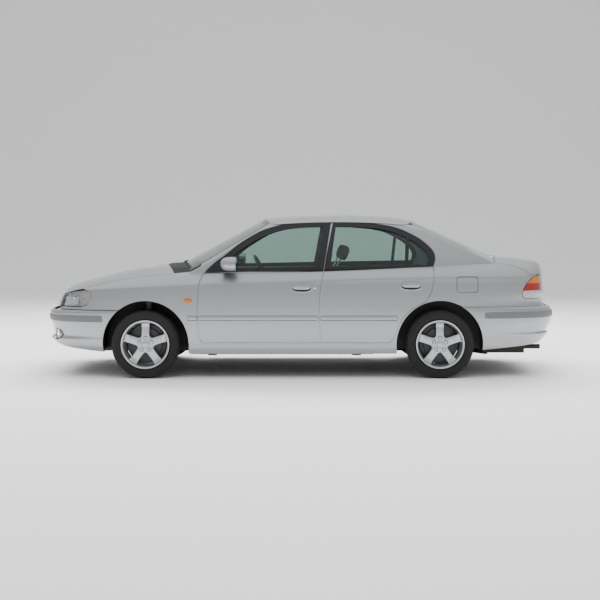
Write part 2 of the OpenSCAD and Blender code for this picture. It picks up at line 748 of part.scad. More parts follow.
module tyre() {
    h = tyre_w / 2;
    wall = 12;
    outer = concat([[rim_r - 12 + near, 77], [rim_r + 0.6, 82], [rim_r + 8, h - 8]],
        through([[rim_r + 30, h - 1], [tyre_r - 42, h], [tyre_r - 16, h - 12], [tyre_r - 3, h - 30], [tyre_r, h - 60]], 3), [[tyre_r, 0]]);
    inner = [[rim_r - 13.5, 62], [rim_r + 22, h - wall - 4], [tyre_r - 40, h - wall], [tyre_r - 22, h - 30], [tyre_r - wall, h - 50]];
    back = [for (k = [len(outer) - 2:-1:0]) [outer[k][0], -outer[k][1]]];
    color(black) rotate([90, 0, 0]) rotate_extrude($fn = 128) polygon(concat(outer, back,
        [for (p = inner) [p[0], -p[1]]], [for (k = [len(inner) - 1:-1:0]) inner[k]]));
}
module wheel_place(front, right) {
    translate([front ? front_x : rear_x, right ? wheel_y : -wheel_y, axle_z]) right_of(right) children();
}
kingpin_y = 655;
ball_r = 12;
strut_in = 62;
arm_top = 199;
module front_knuckle() {
    // Upright with its spindle, steering arm and spring strut
    color(grey) translate([front_x, -kingpin_y, axle_z]) {
        translate([0, 6, 0]) rotate([90, 0, 0]) cylinder(r = 40, h = 20, $fn = 48);
        rotate([90, 0, 0]) cylinder(r = spindle_r, h = wheel_y - kingpin_y + spindle_in, $fn = 48);
        translate([-24, 0, -90]) cube([48, 34, 235]);
        translate([0, 0, arm_top - 24 - axle_z]) cylinder(r = ball_r, h = axle_z - arm_top - 40, $fn = 32);
        translate([-20, -14, -90]) cube([40, 20, 30]);
        translate([0, 6, -50]) cube([110, 24, 22]);
        translate([-16, 30, 105]) cube([32, strut_in - 30, 38]);
        translate([0, strut_in, 95]) cylinder(r = 25, h = 60, $fn = 32);
        translate([0, strut_in, 150]) cylinder(r = 60, h = 10, $fn = 48);
        translate([0, strut_in, 158]) cylinder(r = 40, h = 200, $fn = 32);
        translate([0, strut_in, 356]) cylinder(r = 58, h = 12, $fn = 48);
    }
}
module front_subframe() {
    color(grey) difference() {
        union() {
            block(front_x - 90, front_x + 160, -330, 330, 150, arm_top);
            for (s = [-1, 1]) {
                translate([front_x, 0, arm_top - 26]) linear_extrude(26)
                    polygon([[-40, s * 328], [-22, s * kingpin_y], [22, s * kingpin_y], [40, s * 560], [150, s * 328]]);
                translate([front_x, s * kingpin_y, arm_top - 26]) cylinder(r = 26, h = 26, $fn = 48);
                block(front_x + 150, wx(cabin_front) + 20, s * 290 - 40, s * 290 + 40, 160, wz(205) - near);
            }
        }
        for (s = [-1, 1]) translate([front_x, s * kingpin_y, arm_top - 40]) cylinder(r = ball_r + running, h = 60, $fn = 32);
    }
}
module rear_axle() {
    color(grey) {
        translate([rear_x, 0, axle_z - 30]) rotate([90, 0, 0]) cylinder(r = 34, h = 2 * (wheel_y - 124), center = true, $fn = 48);
        for (s = [-1, 1]) {
            block(rear_x - 560, rear_x + 20, s * 530 - 28, s * 530 + 28, axle_z - 62, axle_z - 12);
            block(rear_x - 560, rear_x - 510, s * 530 - 34, s * 530 + 34, axle_z - 66, wz(400) - near);
            translate([rear_x, s * (wheel_y - 118), axle_z]) rotate([90, 0, 0]) cylinder(r = 52, h = 24, center = true, $fn = 48);
            translate([rear_x, s * (wheel_y - 120 + (120 + spindle_in) / 2), axle_z]) rotate([90, 0, 0])
                cylinder(r = spindle_r, h = 120 + spindle_in, center = true, $fn = 48);
            translate([rear_x + 6, s * 470, axle_z - 10]) cylinder(r = 46, h = wz(400) - near - axle_z + 10, $fn = 32);
        }
    }
}
module engine_block() {
    color(grey) block(wx(-1960), wx(-1260), -400, 400, arm_top + near, wz(790));
}
module fuel_tank() {
    color(black) block(wx(730), wx(1120), -wy(455), wy(455), wz(225), wz(400) - near);
}
module exhaust() {
    pipe_z = 178;
    box_x = rear_x + 430;
    box_z = pipe_z + 16;
    color([0.45, 0.44, 0.42]) {
        translate([wx(-1160), 0, pipe_z]) rotate([0, 90, 0]) cylinder(r = 25, h = wx(1500) - wx(-1160), $fn = 32);
        translate([wx(1490), 4, pipe_z]) rotate([0, 90, -52]) cylinder(r = 23, h = 400, $fn = 32);
        block(box_x, box_x + 380, -520, -180, box_z, box_z + 80);
        for (x = [box_x + 40, box_x + 300]) block(x, x + 20, -360, -330, box_z + 70, wz(400) - near);
        translate([box_x + 370, -440, box_z + 50]) rotate([0, 90, 0]) cylinder(r = 22, h = 170, $fn = 32);
        block(wx(0), wx(30), -20, 20, pipe_z + 20, wz(305) - near);
    }
}

// ---- Inside the cabin
module dashboard() {
    profile = [[-1168, 725], [-1168, 835], [-900, 880], [-720, 905], [-672, 870], [-700, 640], [-860, 620], [-945, 720]];
    color(grey) difference() {
        union() {
            across(-wy(690), wy(690)) polygon([for (p = profile) [wx(p[0]) + near, wz(p[1])]]);
            column_place() translate([0, 0, 60]) cylinder(r = 42, h = 330, $fn = 48);
        }
        column_place() cylinder(r = column_r + running, h = column_length + 10, $fn = 48);
    }
}
module front_seats() {
    color(grey) for (s = [-1, 1]) {
        block(wx(-340), wx(170), s * 350 - 240, s * 350 + 240, wz(330), wz(490));
        block(wx(-300), wx(120), s * 350 - 180, s * 350 + 180, wz(245) + near, wz(330));
        translate([wx(150), s * 350, wz(440)]) rotate([0, 20, 0]) {
            block(-50, 65, -235, 235, 0, 600);
            block(-42, 50, -130, 130, 640, 790);
            for (v = [-60, 60]) translate([5, v, 590]) cylinder(r = 8, h = 80, $fn = 24);
        }
    }
}
module rear_seat() {
    color(grey) {
        block(wx(720), wx(1180), -wy(550), wy(550), wz(430) + near, wz(560));
        translate([wx(1130), 0, wz(520)]) rotate([0, 24, 0]) block(-10, 110, -wy(545), wy(545), 0, 440);
    }
}
module parcel_shelf() {
    // Shelf behind the rear seat, with the strip of bodywork under the foot of the rear window
    panel(black) {
        block(wx(1430), wx(1700), -wy(640), wy(640), wz(905), wz(925));
        difference() {
            intersection() {
                union() {
                    difference() {
                        body_hull();
                        body_hull(lid_t);
                    }
                    block(wx(1690), wx(1702), -wy(490), wy(490), wz(905), 1300);
                }
                body_hull();
                block(wx(1640), wx(1900), -wy(500) + near, wy(500) - near, wz(905), 1300);
            }
            boot_space(panel_gap / 2);
        }
    }
}
wheel_pivot = [-347, -350, 923];
column_tilt = 30;
column_r = 18;
column_length = 150;
module column_place() {
    translate([wx(wheel_pivot[0]), wheel_pivot[1], wz(wheel_pivot[2])]) rotate([0, -90 - column_tilt, 0]) children();
}
module steering_wheel() {
    color(black) column_place() {
        rotate_extrude($fn = 64) translate([176, 0]) circle(r = 14, $fn = 24);
        translate([0, 0, -14]) cylinder(r = 55, h = 28, $fn = 48);
        for (q = [0, 90, 270]) rotate(q) translate([40, -14, -8]) cube([130, 28, 14]);
        translate([0, 0, 10]) cylinder(r = column_r, h = column_length - 10, $fn = 48);
    }
}

floor_pan();
panel(silver) body_side();  // body_side_left
mirror([0, 1, 0]) panel(silver) body_side();  // body_side_right
roof_panel();
front_wing();  // front_wing_left
mirror([0, 1, 0]) front_wing();  // front_wing_right
front_bumper();
rear_bumper();
front_panel();
grille();
headlamps();
tail_lamps();
fog_lamps();
panel(tint) window_pane(false);  // windscreen
panel(tint) window_pane(true);  // rear_window
cowl_panel();
wheel_liners();
engine_block();
fuel_tank();
exhaust();
front_subframe();
rear_axle();
dashboard();
front_seats();
rear_seat();
parcel_shelf();
steering_wheel();
bumper_beams();
bonnet();
boot_lid();
fuel_flap();
panel(silver) door(true);  // front_door_left
mirror([0, 1, 0]) panel(silver) door(true);  // front_door_right
panel(silver) door(false);  // rear_door_left
mirror([0, 1, 0]) panel(silver) door(false);  // rear_door_right
panel(tint) door_pane(true);  // front_glass_left
mirror([0, 1, 0]) panel(tint) door_pane(true);  // front_glass_right
panel(tint) door_pane(false);  // rear_glass_left
mirror([0, 1, 0]) panel(tint) door_pane(false);  // rear_glass_right
mirror_housing();  // mirror_left
mirror([0, 1, 0]) mirror_housing();  // mirror_right
front_knuckle();  // front_knuckle_left
mirror([0, 1, 0]) front_knuckle();  // front_knuckle_right
wheel_place(true, false) rim();  // front_rim_left
wheel_place(true, true) rim();  // front_rim_right
wheel_place(false, false) rim();  // rear_rim_left
wheel_place(false, true) rim();  // rear_rim_right
wheel_place(true, false) tyre();  // front_tyre_left
wheel_place(true, true) tyre();  // front_tyre_right
wheel_place(false, false) tyre();  // rear_tyre_left
wheel_place(false, true) tyre();  // rear_tyre_right
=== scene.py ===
import math
import bpy
import bmesh
import numpy as np
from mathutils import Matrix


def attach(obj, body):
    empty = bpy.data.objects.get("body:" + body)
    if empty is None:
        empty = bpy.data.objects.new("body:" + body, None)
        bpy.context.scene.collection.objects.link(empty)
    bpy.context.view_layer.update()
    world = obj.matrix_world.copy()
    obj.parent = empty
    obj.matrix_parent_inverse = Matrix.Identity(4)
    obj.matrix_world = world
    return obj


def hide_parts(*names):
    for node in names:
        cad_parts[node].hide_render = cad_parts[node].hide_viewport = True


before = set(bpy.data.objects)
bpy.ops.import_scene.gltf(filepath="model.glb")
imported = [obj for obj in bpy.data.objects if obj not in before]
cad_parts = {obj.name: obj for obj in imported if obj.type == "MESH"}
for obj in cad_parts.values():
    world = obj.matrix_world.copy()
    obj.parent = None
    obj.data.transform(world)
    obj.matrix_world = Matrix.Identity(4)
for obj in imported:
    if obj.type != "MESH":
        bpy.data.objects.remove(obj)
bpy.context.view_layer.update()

# ---- Painted outer skins
# Pressed steel panels in silver metallic paint under clear coat. The shape is a rounded oblong in
# plan at each height, closed by a surface that falls from the middle of the car to its shoulder.
# A skin is 1.6 mm thick and lies just outside the body; every finish varies with a fine noise.


def srgb(text):
    """Linear colour of a hex code: each channel undone from the sRGB curve."""
    c = [int(text[k : k + 2], 16) / 255 for k in (1, 3, 5)]
    return [v / 12.92 if v <= 0.04045 else ((v + 0.055) / 1.055) ** 2.4 for v in c] + [1.0]


def add(material, kind, links=(), **values):
    """One shader node, with its named settings or inputs filled and its inputs linked."""
    made = material.node_tree.nodes.new(kind)
    for key, value in values.items():
        if hasattr(made, key):
            setattr(made, key, value)
        else:
            made.inputs[key.replace("_", " ")].default_value = value
    for socket, source in links:
        material.node_tree.links.new(source, made.inputs[socket])
    return made


def finish(name, colour, rough=0.5, metal=0.0, grain_mm=2.0, lift=0.05, spread=0.1, **more):
    """Principled finish whose roughness and bump follow a noise of grain_mm."""
    m = bpy.data.materials.new(name)
    m.use_nodes = True
    shader = m.node_tree.nodes["Principled BSDF"]
    shader.inputs["Base Color"].default_value = srgb(colour)
    shader.inputs["Metallic"].default_value = metal
    place = add(m, "ShaderNodeTexCoord")
    noise = add(
        m, "ShaderNodeTexNoise", [("Vector", place.outputs["Object"])], Scale=1000 / grain_mm, Detail=2.0
    )
    span = add(
        m, "ShaderNodeMapRange", [("Value", noise.outputs["Fac"])],
        To_Min=max(rough - spread, 0.02), To_Max=rough + spread,
    )
    m.node_tree.links.new(span.outputs["Result"], shader.inputs["Roughness"])
    bump = add(m, "ShaderNodeBump", [("Height", noise.outputs["Fac"])], Strength=lift, Distance=0.0005)
    m.node_tree.links.new(bump.outputs["Normal"], shader.inputs["Normal"])
    for key, value in more.items():
        shader.inputs[key.replace("_", " ")].default_value = value
    return m


# Aluminium flake under lacquer: a soft metal sheen with a sharp second gloss over it
paint = finish(
    "silver metallic clear-coated paint", "#a7a9ac", 0.36, 0.8, 0.6, 0.02, 0.06,
    Coat_Weight=0.8, Coat_Roughness=0.05,
)

nose_x = [
    [200, 2120], [240, 2180], [265, 2230], [290, 2280], [334, 2318], [365, 2294], [395, 2298],
    [447, 2314], [500, 2326], [580, 2330], [600, 2300], [606, 2274], [640, 2262], [700, 2240],
    [760, 2205], [850, 2150], [1180, 2000],
]
tail_x = [
    [200, 2110], [228, 2150], [290, 2220], [325, 2252], [375, 2294], [405, 2284], [430, 2297],
    [490, 2324], [580, 2330], [606, 2320], [622, 2304], [640, 2254], [766, 2255], [900, 2240],
    [960, 2225], [1030, 2198], [1180, 2140],
]
half_y = [
    [200, 790], [228, 808], [270, 826], [312, 828], [420, 840], [540, 845], [700, 843], [800, 838],
    [860, 834], [1180, 834],
]
shoulder_z = [
    [-2330, 600], [-2250, 655], [-2200, 700], [-2150, 735], [-2080, 762], [-1950, 779],
    [-1870, 785], [-1000, 826], [-600, 842], [1100, 893], [1900, 888], [2150, 885], [2330, 880],
]
middle_z = [
    [-2330, 606], [-2262, 668], [-2230, 716], [-2190, 768], [-2100, 814], [-2000, 846],
    [-1800, 900], [-1650, 936], [-1460, 967], [-1268, 994], [-1100, 1018], [-850, 1040],
    [-400, 1056], [0, 1062], [600, 1064], [1170, 1066], [1600, 1076], [1828, 1072], [2022, 1054],
    [2150, 1040], [2215, 1022], [2330, 980],
]


def smooth(x, rows):
    """Cubic Hermite curve through the rows, each slope taken between the rows on either side."""
    at, value = np.array(rows, float).T
    slope = np.gradient(value, at, edge_order=1)
    slope[1:-1] = (value[2:] - value[:-2]) / (at[2:] - at[:-2])
    x = np.clip(x, at[0], at[-1])
    k = np.clip(np.searchsorted(at, x, side="right") - 1, 0, len(at) - 2)
    h = at[k + 1] - at[k]
    s = (x - at[k]) / h
    return (value[k] * (2 * s**3 - 3 * s**2 + 1) + slope[k] * h * (s**3 - 2 * s**2 + s)
        + value[k + 1] * (3 * s**2 - 2 * s**3) + slope[k + 1] * h * (s**3 - s**2))


def reach(z, rear, t):
    """How far the hull reaches forward or back at a height, t inside the skin."""
    return np.where(rear, smooth(z, tail_x), smooth(z, nose_x)) - t


def hull_y(x, z, t):
    """Half width: a fifth-power oblong, (1 - (x / reach)^5)^(1/5) of the width at that height."""
    r = np.clip(np.abs(x) / reach(z, x > 0, t), 0, 1)
    return (smooth(z, half_y) - t) * (1 - r**5) ** 0.2


def deck_z(x, share, t):
    """Height of the upper surface at a share of the way out to the shoulder."""
    low = smooth(x, shoulder_z) - 0.4 * t
    top = smooth(x, middle_z) - t
    power = np.interp(x, [-1000, 200, 1176, 1600], [3.8, 4.6, 5, 6])
    return low + (top - low) * np.clip(1 - share**power, 0, None) ** 0.8


def hull_sheet(t):
    """Both sides and the top as one grid: a column at each station, rows up the side and over."""
    even = np.linspace(0, 0.9, 96)
    turn = (1 - np.linspace(0.82, 0, 40) ** 5) ** 0.2
    r = np.concatenate([even, turn])
    r = np.concatenate([-r[::-1], r[1:]])
    rear = r > 0
    crest = np.full(r.shape, 780.0)
    for _ in range(60):
        crest = 0.5 * crest + 0.5 * smooth(r * reach(crest, rear, t), shoulder_z)
    low = np.arange(200, 597, 9.0)[:, None] + 0 * r
    high = 598 + (crest - 598) * np.linspace(0, 1, 40)[:, None]
    z = np.vstack([low, high])
    x = r * reach(z, rear, t)
    y = (smooth(z, half_y) - t) * (1 - np.abs(r) ** 5) ** 0.2
    share = 1 - np.linspace(0, 1, 34)[1:, None] ** 1.7
    top_x = x[-1] + 0 * share
    top_y = share * y[-1]
    top_z = deck_z(top_x, share, t)
    x, y, z = np.vstack([x, top_x]), -np.vstack([y, top_y]), np.vstack([z, top_z])
    left = np.stack([x, y, z], axis=2)
    return np.vstack([left, (left * [1, -1, 1])[-2::-1]])


outer_sheet, inner_sheet = hull_sheet(-2.6), hull_sheet(-1.0)


def outward(mesh):
    """Turns every face of a closed mesh to point outwards."""
    b = bmesh.new()
    b.from_mesh(mesh)
    bmesh.ops.recalc_face_normals(b, faces=b.faces)
    b.to_mesh(mesh)
    b.free()


def shell(name, outer, inner, low=None, high=None, closed=False):
    """Closed thin solid between two matching grids, keeping only the quads inside a box in mm."""
    rows, columns = outer.shape[:2]
    index = np.arange(rows * columns).reshape(rows, columns)
    if closed:
        half = rows // 2
        index[half + 1 :, 0] = index[:half, 0][::-1]
        index[half + 1 :, -1] = index[:half, -1][::-1]
    quads = np.stack(
        [index[:-1, :-1], index[:-1, 1:], index[1:, 1:], index[1:, :-1]], axis=2
    ).reshape(-1, 4)
    points = outer.reshape(-1, 3)
    if low is not None:
        middle = points[quads].mean(axis=1)
        quads = quads[((middle > low) & (middle < high)).all(axis=1)]
    used, quads = np.unique(quads, return_inverse=True)
    quads = quads.reshape(-1, 4)
    edges = np.concatenate([quads[:, [k, (k + 1) % 4]] for k in range(4)])
    edges = edges[edges[:, 0] != edges[:, 1]]
    code, back = edges[:, 0] * 10**7 + edges[:, 1], edges[:, 1] * 10**7 + edges[:, 0]
    rim = edges[~np.isin(code, back)]
    n = len(used)
    walls = np.stack([rim[:, 1], rim[:, 0], rim[:, 0] + n, rim[:, 1] + n], axis=1)
    faces = np.concatenate([quads, quads[:, ::-1] + n, walls])
    both = np.concatenate([points[used], inner.reshape(-1, 3)[used]]) / 1000
    name = name.replace(" ", "_")
    mesh = bpy.data.meshes.new(name)
    mesh.from_pydata(both.tolist(), [], [list(dict.fromkeys(f)) for f in faces.tolist() if len(set(f)) > 2])
    outward(mesh)
    piece = bpy.data.objects.new(name, mesh)
    bpy.context.scene.collection.objects.link(piece)
    return piece


def prism(points, axis, low, high):
    """Outline in mm carried along an axis: x takes (y, z) pairs, y takes (x, z), z takes (x, y)."""
    p = np.array(points, float) / 1000
    lead, trail = axis, [k for k in range(3) if k != axis]
    v = np.zeros((2 * len(p), 3))
    v[:, trail[0]], v[:, trail[1]] = np.tile(p[:, 0], 2), np.tile(p[:, 1], 2)
    v[: len(p), lead], v[len(p) :, lead] = low / 1000, high / 1000
    n = len(p)
    faces = [list(range(n)), list(range(2 * n - 1, n - 1, -1))]
    faces += [[k, k + n, (k + 1) % n + n, (k + 1) % n] for k in range(n)]
    mesh = bpy.data.meshes.new("tool")
    mesh.from_pydata(v.tolist(), [], faces)
    outward(mesh)
    tool = bpy.data.objects.new("tool", mesh)
    bpy.context.scene.collection.objects.link(tool)
    return tool


def cut(piece, tool, how="DIFFERENCE"):
    """Exact boolean of the piece with a tool, which is then removed."""
    step = piece.modifiers.new("cut", "BOOLEAN")
    step.operation, step.object, step.solver = how, tool, "EXACT"
    got = bpy.data.meshes.new_from_object(piece.evaluated_get(bpy.context.evaluated_depsgraph_get()))
    piece.modifiers.clear()
    old, piece.data = piece.data, got
    bpy.data.meshes.remove(old)
    bpy.data.objects.remove(tool)
    return piece


def through(points, n=8):
    """Smooth open curve through points, in n steps a span."""
    p = np.array(points, float)
    a, b = np.vstack([p[:1], p[:-2]]), p[:-1]
    c, d = p[1:], np.vstack([p[2:], p[-1:]])
    s = np.linspace(0, 1, n, endpoint=False)[:, None, None]
    curve = (
        b + (c - a) * s / 2 + (a - 2.5 * b + 2 * c - 0.5 * d) * s**2
        + (1.5 * b - 0.5 * a + 0.5 * d - 1.5 * c) * s**3
    )
    return np.vstack([curve.transpose(1, 0, 2).reshape(-1, 2), p[-1:]])


def grown(points, by):
    """Closed outline moved outwards by a distance, with mitred corners."""
    p = np.array(points, float)
    along = np.roll(p, -1, 0) - p
    keep = np.hypot(*along.T) > 0.5
    p = p[keep]
    along = np.roll(p, -1, 0) - p
    along /= np.hypot(*along.T)[:, None]
    turn = np.sign(np.sum(p[:, 0] * np.roll(p[:, 1], -1) - p[:, 1] * np.roll(p[:, 0], -1)))
    out = np.stack([along[:, 1], -along[:, 0]], axis=1) * turn
    before = np.roll(out, 1, 0)
    scale = np.clip(1 + (out * before).sum(axis=1), 0.35, 2)[:, None]
    return p + by * (out + before) / scale


def dress(piece, material, body):
    """Smooth shading with crisp rims, a finish, and the body the piece rides on."""
    mesh = piece.data
    mesh.materials.clear()
    mesh.materials.append(material)
    mesh.polygons.foreach_set("material_index", np.zeros(len(mesh.polygons), np.int32))
    mesh.polygons.foreach_set("use_smooth", np.ones(len(mesh.polygons), bool))
    mesh.set_sharp_from_angle(angle=0.7)
    mesh.update()
    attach(piece, body)
    return piece


def mirrored(piece, name, body):
    """The same piece on the other side of the car."""
    name = name.replace(" ", "_")
    mesh = piece.data.copy()
    mesh.name = name
    n = len(mesh.vertices)
    co = np.empty(n * 3, np.float32)
    mesh.vertices.foreach_get("co", co)
    co = co.reshape(-1, 3) * [1, -1, 1]
    mesh.vertices.foreach_set("co", co.ravel().astype(np.float32))
    mesh.flip_normals()
    mesh.update()
    twin = bpy.data.objects.new(name, mesh)
    bpy.context.scene.collection.objects.link(twin)
    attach(twin, body)
    return twin


def both_sides(piece, material, body):
    """Dresses a left piece and adds its right twin, which rides on the right body if there is one."""
    dress(piece, material, body)
    twin = mirrored(piece, piece.name.replace("left", "right"), body.replace("left", "right"))
    return piece, twin


front_edge = [[-862, 318], [-894, 345], [-912, 430], [-919, 560], [-917, 700], [-904, 850], [-868, 938]]
split_edge = [[204, 968], [176, 830], [162, 690], [160, 560], [168, 430], [186, 318]]
rear_edge = [
    [1183, 982], [1180, 890], [1160, 785], [1118, 698], [1050, 655], [974, 608], [905, 545],
    [858, 460], [832, 380], [790, 318],
]
frame_front = [
    [-868, 938], [-791, 1014], [-690, 1089], [-562, 1192], [-440, 1268], [-332, 1322], [-158, 1368],
    [60, 1386], [274, 1389],
]
frame_rear = [
    [274, 1389], [522, 1386], [731, 1367], [871, 1337], [974, 1294], [1077, 1236], [1165, 1160],
    [1200, 1105], [1206, 1050], [1183, 982],
]
front_door = np.vstack([through(front_edge), through(frame_front)[1:], through(split_edge)])
rear_door = np.vstack([through(split_edge[::-1]), through(frame_rear)[1:], through(rear_edge)[1:]])
gap = 3.0


def glass_y(x, z):
    """Half width of the side windows: 770 at the belt, leaning in upwards and bowed along the car."""
    return (770 - 170 * np.clip((z - 950) / 440, 0, None) ** 1.25) * (1 - 0.045 * ((x - 150) / 1000) ** 2)


stations = np.linspace(-930, 1660, 60)
belt_inside = np.vstack([np.stack([stations, -glass_y(stations, 950) + 3], 1), [[1660, 0], [-930, 0]]])


def side_skin(name, low, high, tools):
    """Skin of the left side inside a box, trimmed by each (outline, axis, from, to, how) in turn."""
    piece = shell(name, outer_sheet, inner_sheet, np.array(low), np.array(high), closed=True)
    for outline, axis, a, b, how in tools:
        cut(piece, prism(outline, axis, a, b), how)
    return piece


inside_cabin = (belt_inside, 2, 700, 1300, "DIFFERENCE")
for label, outline, box in (
    ("front door", front_door, ([-980, -900, 290], [260, -640, 1010])),
    ("rear door", rear_door, ([110, -900, 290], [1260, -640, 1010])),
):
    body = label.replace(" ", "_")
    skin = side_skin(
        label + " outer skin left", *box,
        [(grown(outline, -gap), 1, -1000, -500, "INTERSECT"), inside_cabin]
    )
    both_sides(skin, paint, body + "_left")

# ---- Wings, sides, flap, bumpers, bonnet, boot and roof
# Each skin is the hull between its shut lines, 3 mm back from the middle of every gap.


def disc(x, z, r, n=96):
    """Circle as an outline."""
    q = np.linspace(0, 2 * np.pi, n, endpoint=False)
    return np.stack([x + r * np.cos(q), z + r * np.sin(q)], 1)


def bonnet_rear_x(v):
    """Rear edge of the bonnet: 1262 ahead of the middle, swept back by the square of the width."""
    return -1262 + 250 * (v / 1000) ** 2


front_axle, rear_axle = -1385, 1235
bonnet_half = [
    [-2330, 830], [-1990, 830], [-1960, 705], [-1807, 692], [-1553, 690], [-1323, 694],
    [-1143, 702],
]
rear_sweep = np.arange(700, -701, -50)
bonnet_plan = np.vstack([
    bonnet_half, np.stack([bonnet_rear_x(rear_sweep), rear_sweep], 1),
    np.array(bonnet_half[::-1]) * [1, -1]
])
bonnet_front = [
    [-2400, 738], [-2200, 742], [-2120, 762], [-2050, 776], [-1960, 786], [-1900, 795],
    [-1700, 815], [-1000, 850], [-800, 1400], [-2500, 1400],
]
lamp_side = [
    [-2400, 628], [-1975, 628], [-1915, 648], [-1880, 690], [-1868, 730], [-1880, 762],
    [-1925, 779], [-1990, 776], [-2080, 764], [-2150, 742], [-2400, 736],
]
tail_side = [
    [2400, 700], [2012, 700], [1992, 722], [1988, 752], [2005, 800], [2045, 855], [2100, 893],
    [2160, 908], [2400, 908],
]
cowl_sweep = np.linspace(-702, 702, 15)
cowl_plan = np.vstack([np.stack([bonnet_rear_x(cowl_sweep), cowl_sweep], 1), [[-900, 702], [-900, -702]]])
wing_side = np.vstack([
    [[-2400, 607], [-1500, 607], [-1000, 315], [-862, 315]], np.array(front_edge[1:]) + [15, 0],
    [[-880, 960], [-960, 1010], [-2400, 1010]]
])
boot_side = through([[1752, 655], [1755, 600], [1789, 400], [1838, 0]])
boot_plan = np.vstack([
    boot_side, boot_side[::-1] * [1, -1],
    [[2160, -655], [2240, -560], [2500, -548], [2500, 548], [2240, 560], [2160, 655]]
])
corner = np.radians(np.arange(0, 360, 10))
flap_outline = np.stack([
    1478 + 70 * np.sign(np.cos(corner)) + 25 * np.cos(corner),
    833.5 + 43.5 * np.sign(np.sin(corner)) + 25 * np.sin(corner)
], 1)


def square(x0, x1, z0, z1):
    """Rectangle as an outline."""
    return [[x0, z0], [x1, z0], [x1, z1], [x0, z1]]


def bonnet_tool(by):
    """The bonnet's outline in plan, trimmed by its edge as seen from the side."""
    return cut(
        prism(grown(bonnet_plan, by), 2, 600, 1200), prism(grown(bonnet_front, by), 1, -1000, 1000),
        "INTERSECT"
    )


wing = side_skin("front wing skin left", [-2340, -900, 300], [-840, -470, 1010], [
    (wing_side, 1, -1100, -480, "INTERSECT"),
    (disc(front_axle, 302, 387), 1, -1100, -400, "DIFFERENCE"),
    (grown(front_door, gap), 1, -1100, -400, "DIFFERENCE"),
    (grown(lamp_side, gap), 1, -1100, -382, "DIFFERENCE"),
    (cowl_plan, 2, 800, 1050, "DIFFERENCE"),
    (square(-2600, -2010, -600, 600), 2, 0, 1200, "DIFFERENCE"),
    (square(-2600, -1945, -730, 730), 2, 735, 1200, "DIFFERENCE"),
    inside_cabin,
])
cut(wing, bonnet_tool(gap))
both_sides(wing, paint, "body")

quarter = side_skin("body side skin left", [-1010, -900, 220], [2215, -500, 1085], [
    (grown(front_door, gap), 1, -1100, -300, "DIFFERENCE"),
    (grown(rear_door, gap), 1, -1100, -300, "DIFFERENCE"),
    (
        np.vstack([
            [[-2400, 150], [-1000, 150], [-1000, 309], [-862, 309]], front_edge[1:],
            [[-880, 960], [-960, 1110], [-2400, 1110]]
        ]),
        1, -1100, -300, "DIFFERENCE"
    ),
    (disc(front_axle, 302, 389), 1, -1100, -300, "DIFFERENCE"),
    (disc(rear_axle, 302, 389), 1, -1100, -300, "DIFFERENCE"),
    (square(1238, 2500, 100, 635), 1, -1100, -300, "DIFFERENCE"),
    (grown(tail_side, gap), 1, -1100, -557, "DIFFERENCE"),
    (grown(flap_outline, gap), 1, -1100, -700, "DIFFERENCE"),
    (grown(boot_plan, gap), 2, 909, 1200, "DIFFERENCE"),
    (square(2097, 2600, -551, 551), 2, 600, 1200, "DIFFERENCE"),
    inside_cabin,
])
both_sides(quarter, paint, "body")
dress(
    side_skin(
        "fuel flap skin", [1350, -900, 700], [1620, -700, 950],
        [(grown(flap_outline, -gap), 1, -1100, -500, "INTERSECT")]
    ),
    paint, "fuel_flap"
)

bumper = side_skin("front bumper skin", [-2400, -900, 210], [-1385, 900, 640], [
    (
        [[-2450, 262], [-2190, 262], [-1766, 229], [-1385, 229], [-1385, 599], [-2450, 599]], 1, -1100,
        1100, "INTERSECT"
    ),
    (disc(front_axle, 302, 387), 1, -1100, 1100, "DIFFERENCE"),
    (square(-430, 430, 300, 352), 0, -2600, -2000, "DIFFERENCE"),
    (square(-400, 400, 376, 420), 0, -2600, -2000, "DIFFERENCE"),
    (disc(-600, 378, 54, 48), 0, -2600, -2000, "DIFFERENCE"),
    (disc(600, 378, 54, 48), 0, -2600, -2000, "DIFFERENCE"),
])
dress(bumper, paint, "body")
bumper = side_skin("rear bumper skin", [1235, -900, 240], [2400, 900, 650], [
    (
        [[2450, 300], [2150, 290], [1630, 251], [1240, 251], [1240, 631], [2450, 631]], 1, -1100, 1100,
        "INTERSECT"
    ),
    (disc(rear_axle, 302, 387), 1, -1100, 1100, "DIFFERENCE"),
])
dress(bumper, paint, "body")

bonnet = shell(
    "bonnet skin", outer_sheet, inner_sheet, np.array([-2340, -850, 690]), np.array([-1130, 850, 1060]),
    closed=True
)
cut(bonnet, bonnet_tool(-gap), "INTERSECT")
dress(bonnet, paint, "bonnet")
boot = side_skin("boot lid skin", [1600, -850, 640], [2400, 850, 1090], [
    (grown(boot_plan, -gap), 2, 671, 1200, "INTERSECT"),
    (square(1500, 2500, 0, 915), 1, -1000, -545, "DIFFERENCE"),
    (square(1500, 2500, 0, 915), 1, 545, 1000, "DIFFERENCE"),
])
dress(boot, paint, "boot_lid")

roof_z = [
    [-1400, 1250], [-700, 1352], [-360, 1421], [-200, 1443], [0, 1456], [250, 1462], [500, 1461],
    [750, 1451], [900, 1437], [1054, 1412], [1300, 1360], [2000, 1200],
]
header_front = [[0, -352], [300, -330], [540, -290], [585, -240]]
header_rear = [[0, 1060], [300, 1045], [540, 990], [585, 930]]


def roof_drop(v):
    """Fall of the roof towards its sides: a square term and a steep eighth-power one at the rail."""
    return 35 * (np.abs(v) / 600) ** 2 + 45 * (np.abs(v) / 600) ** 8


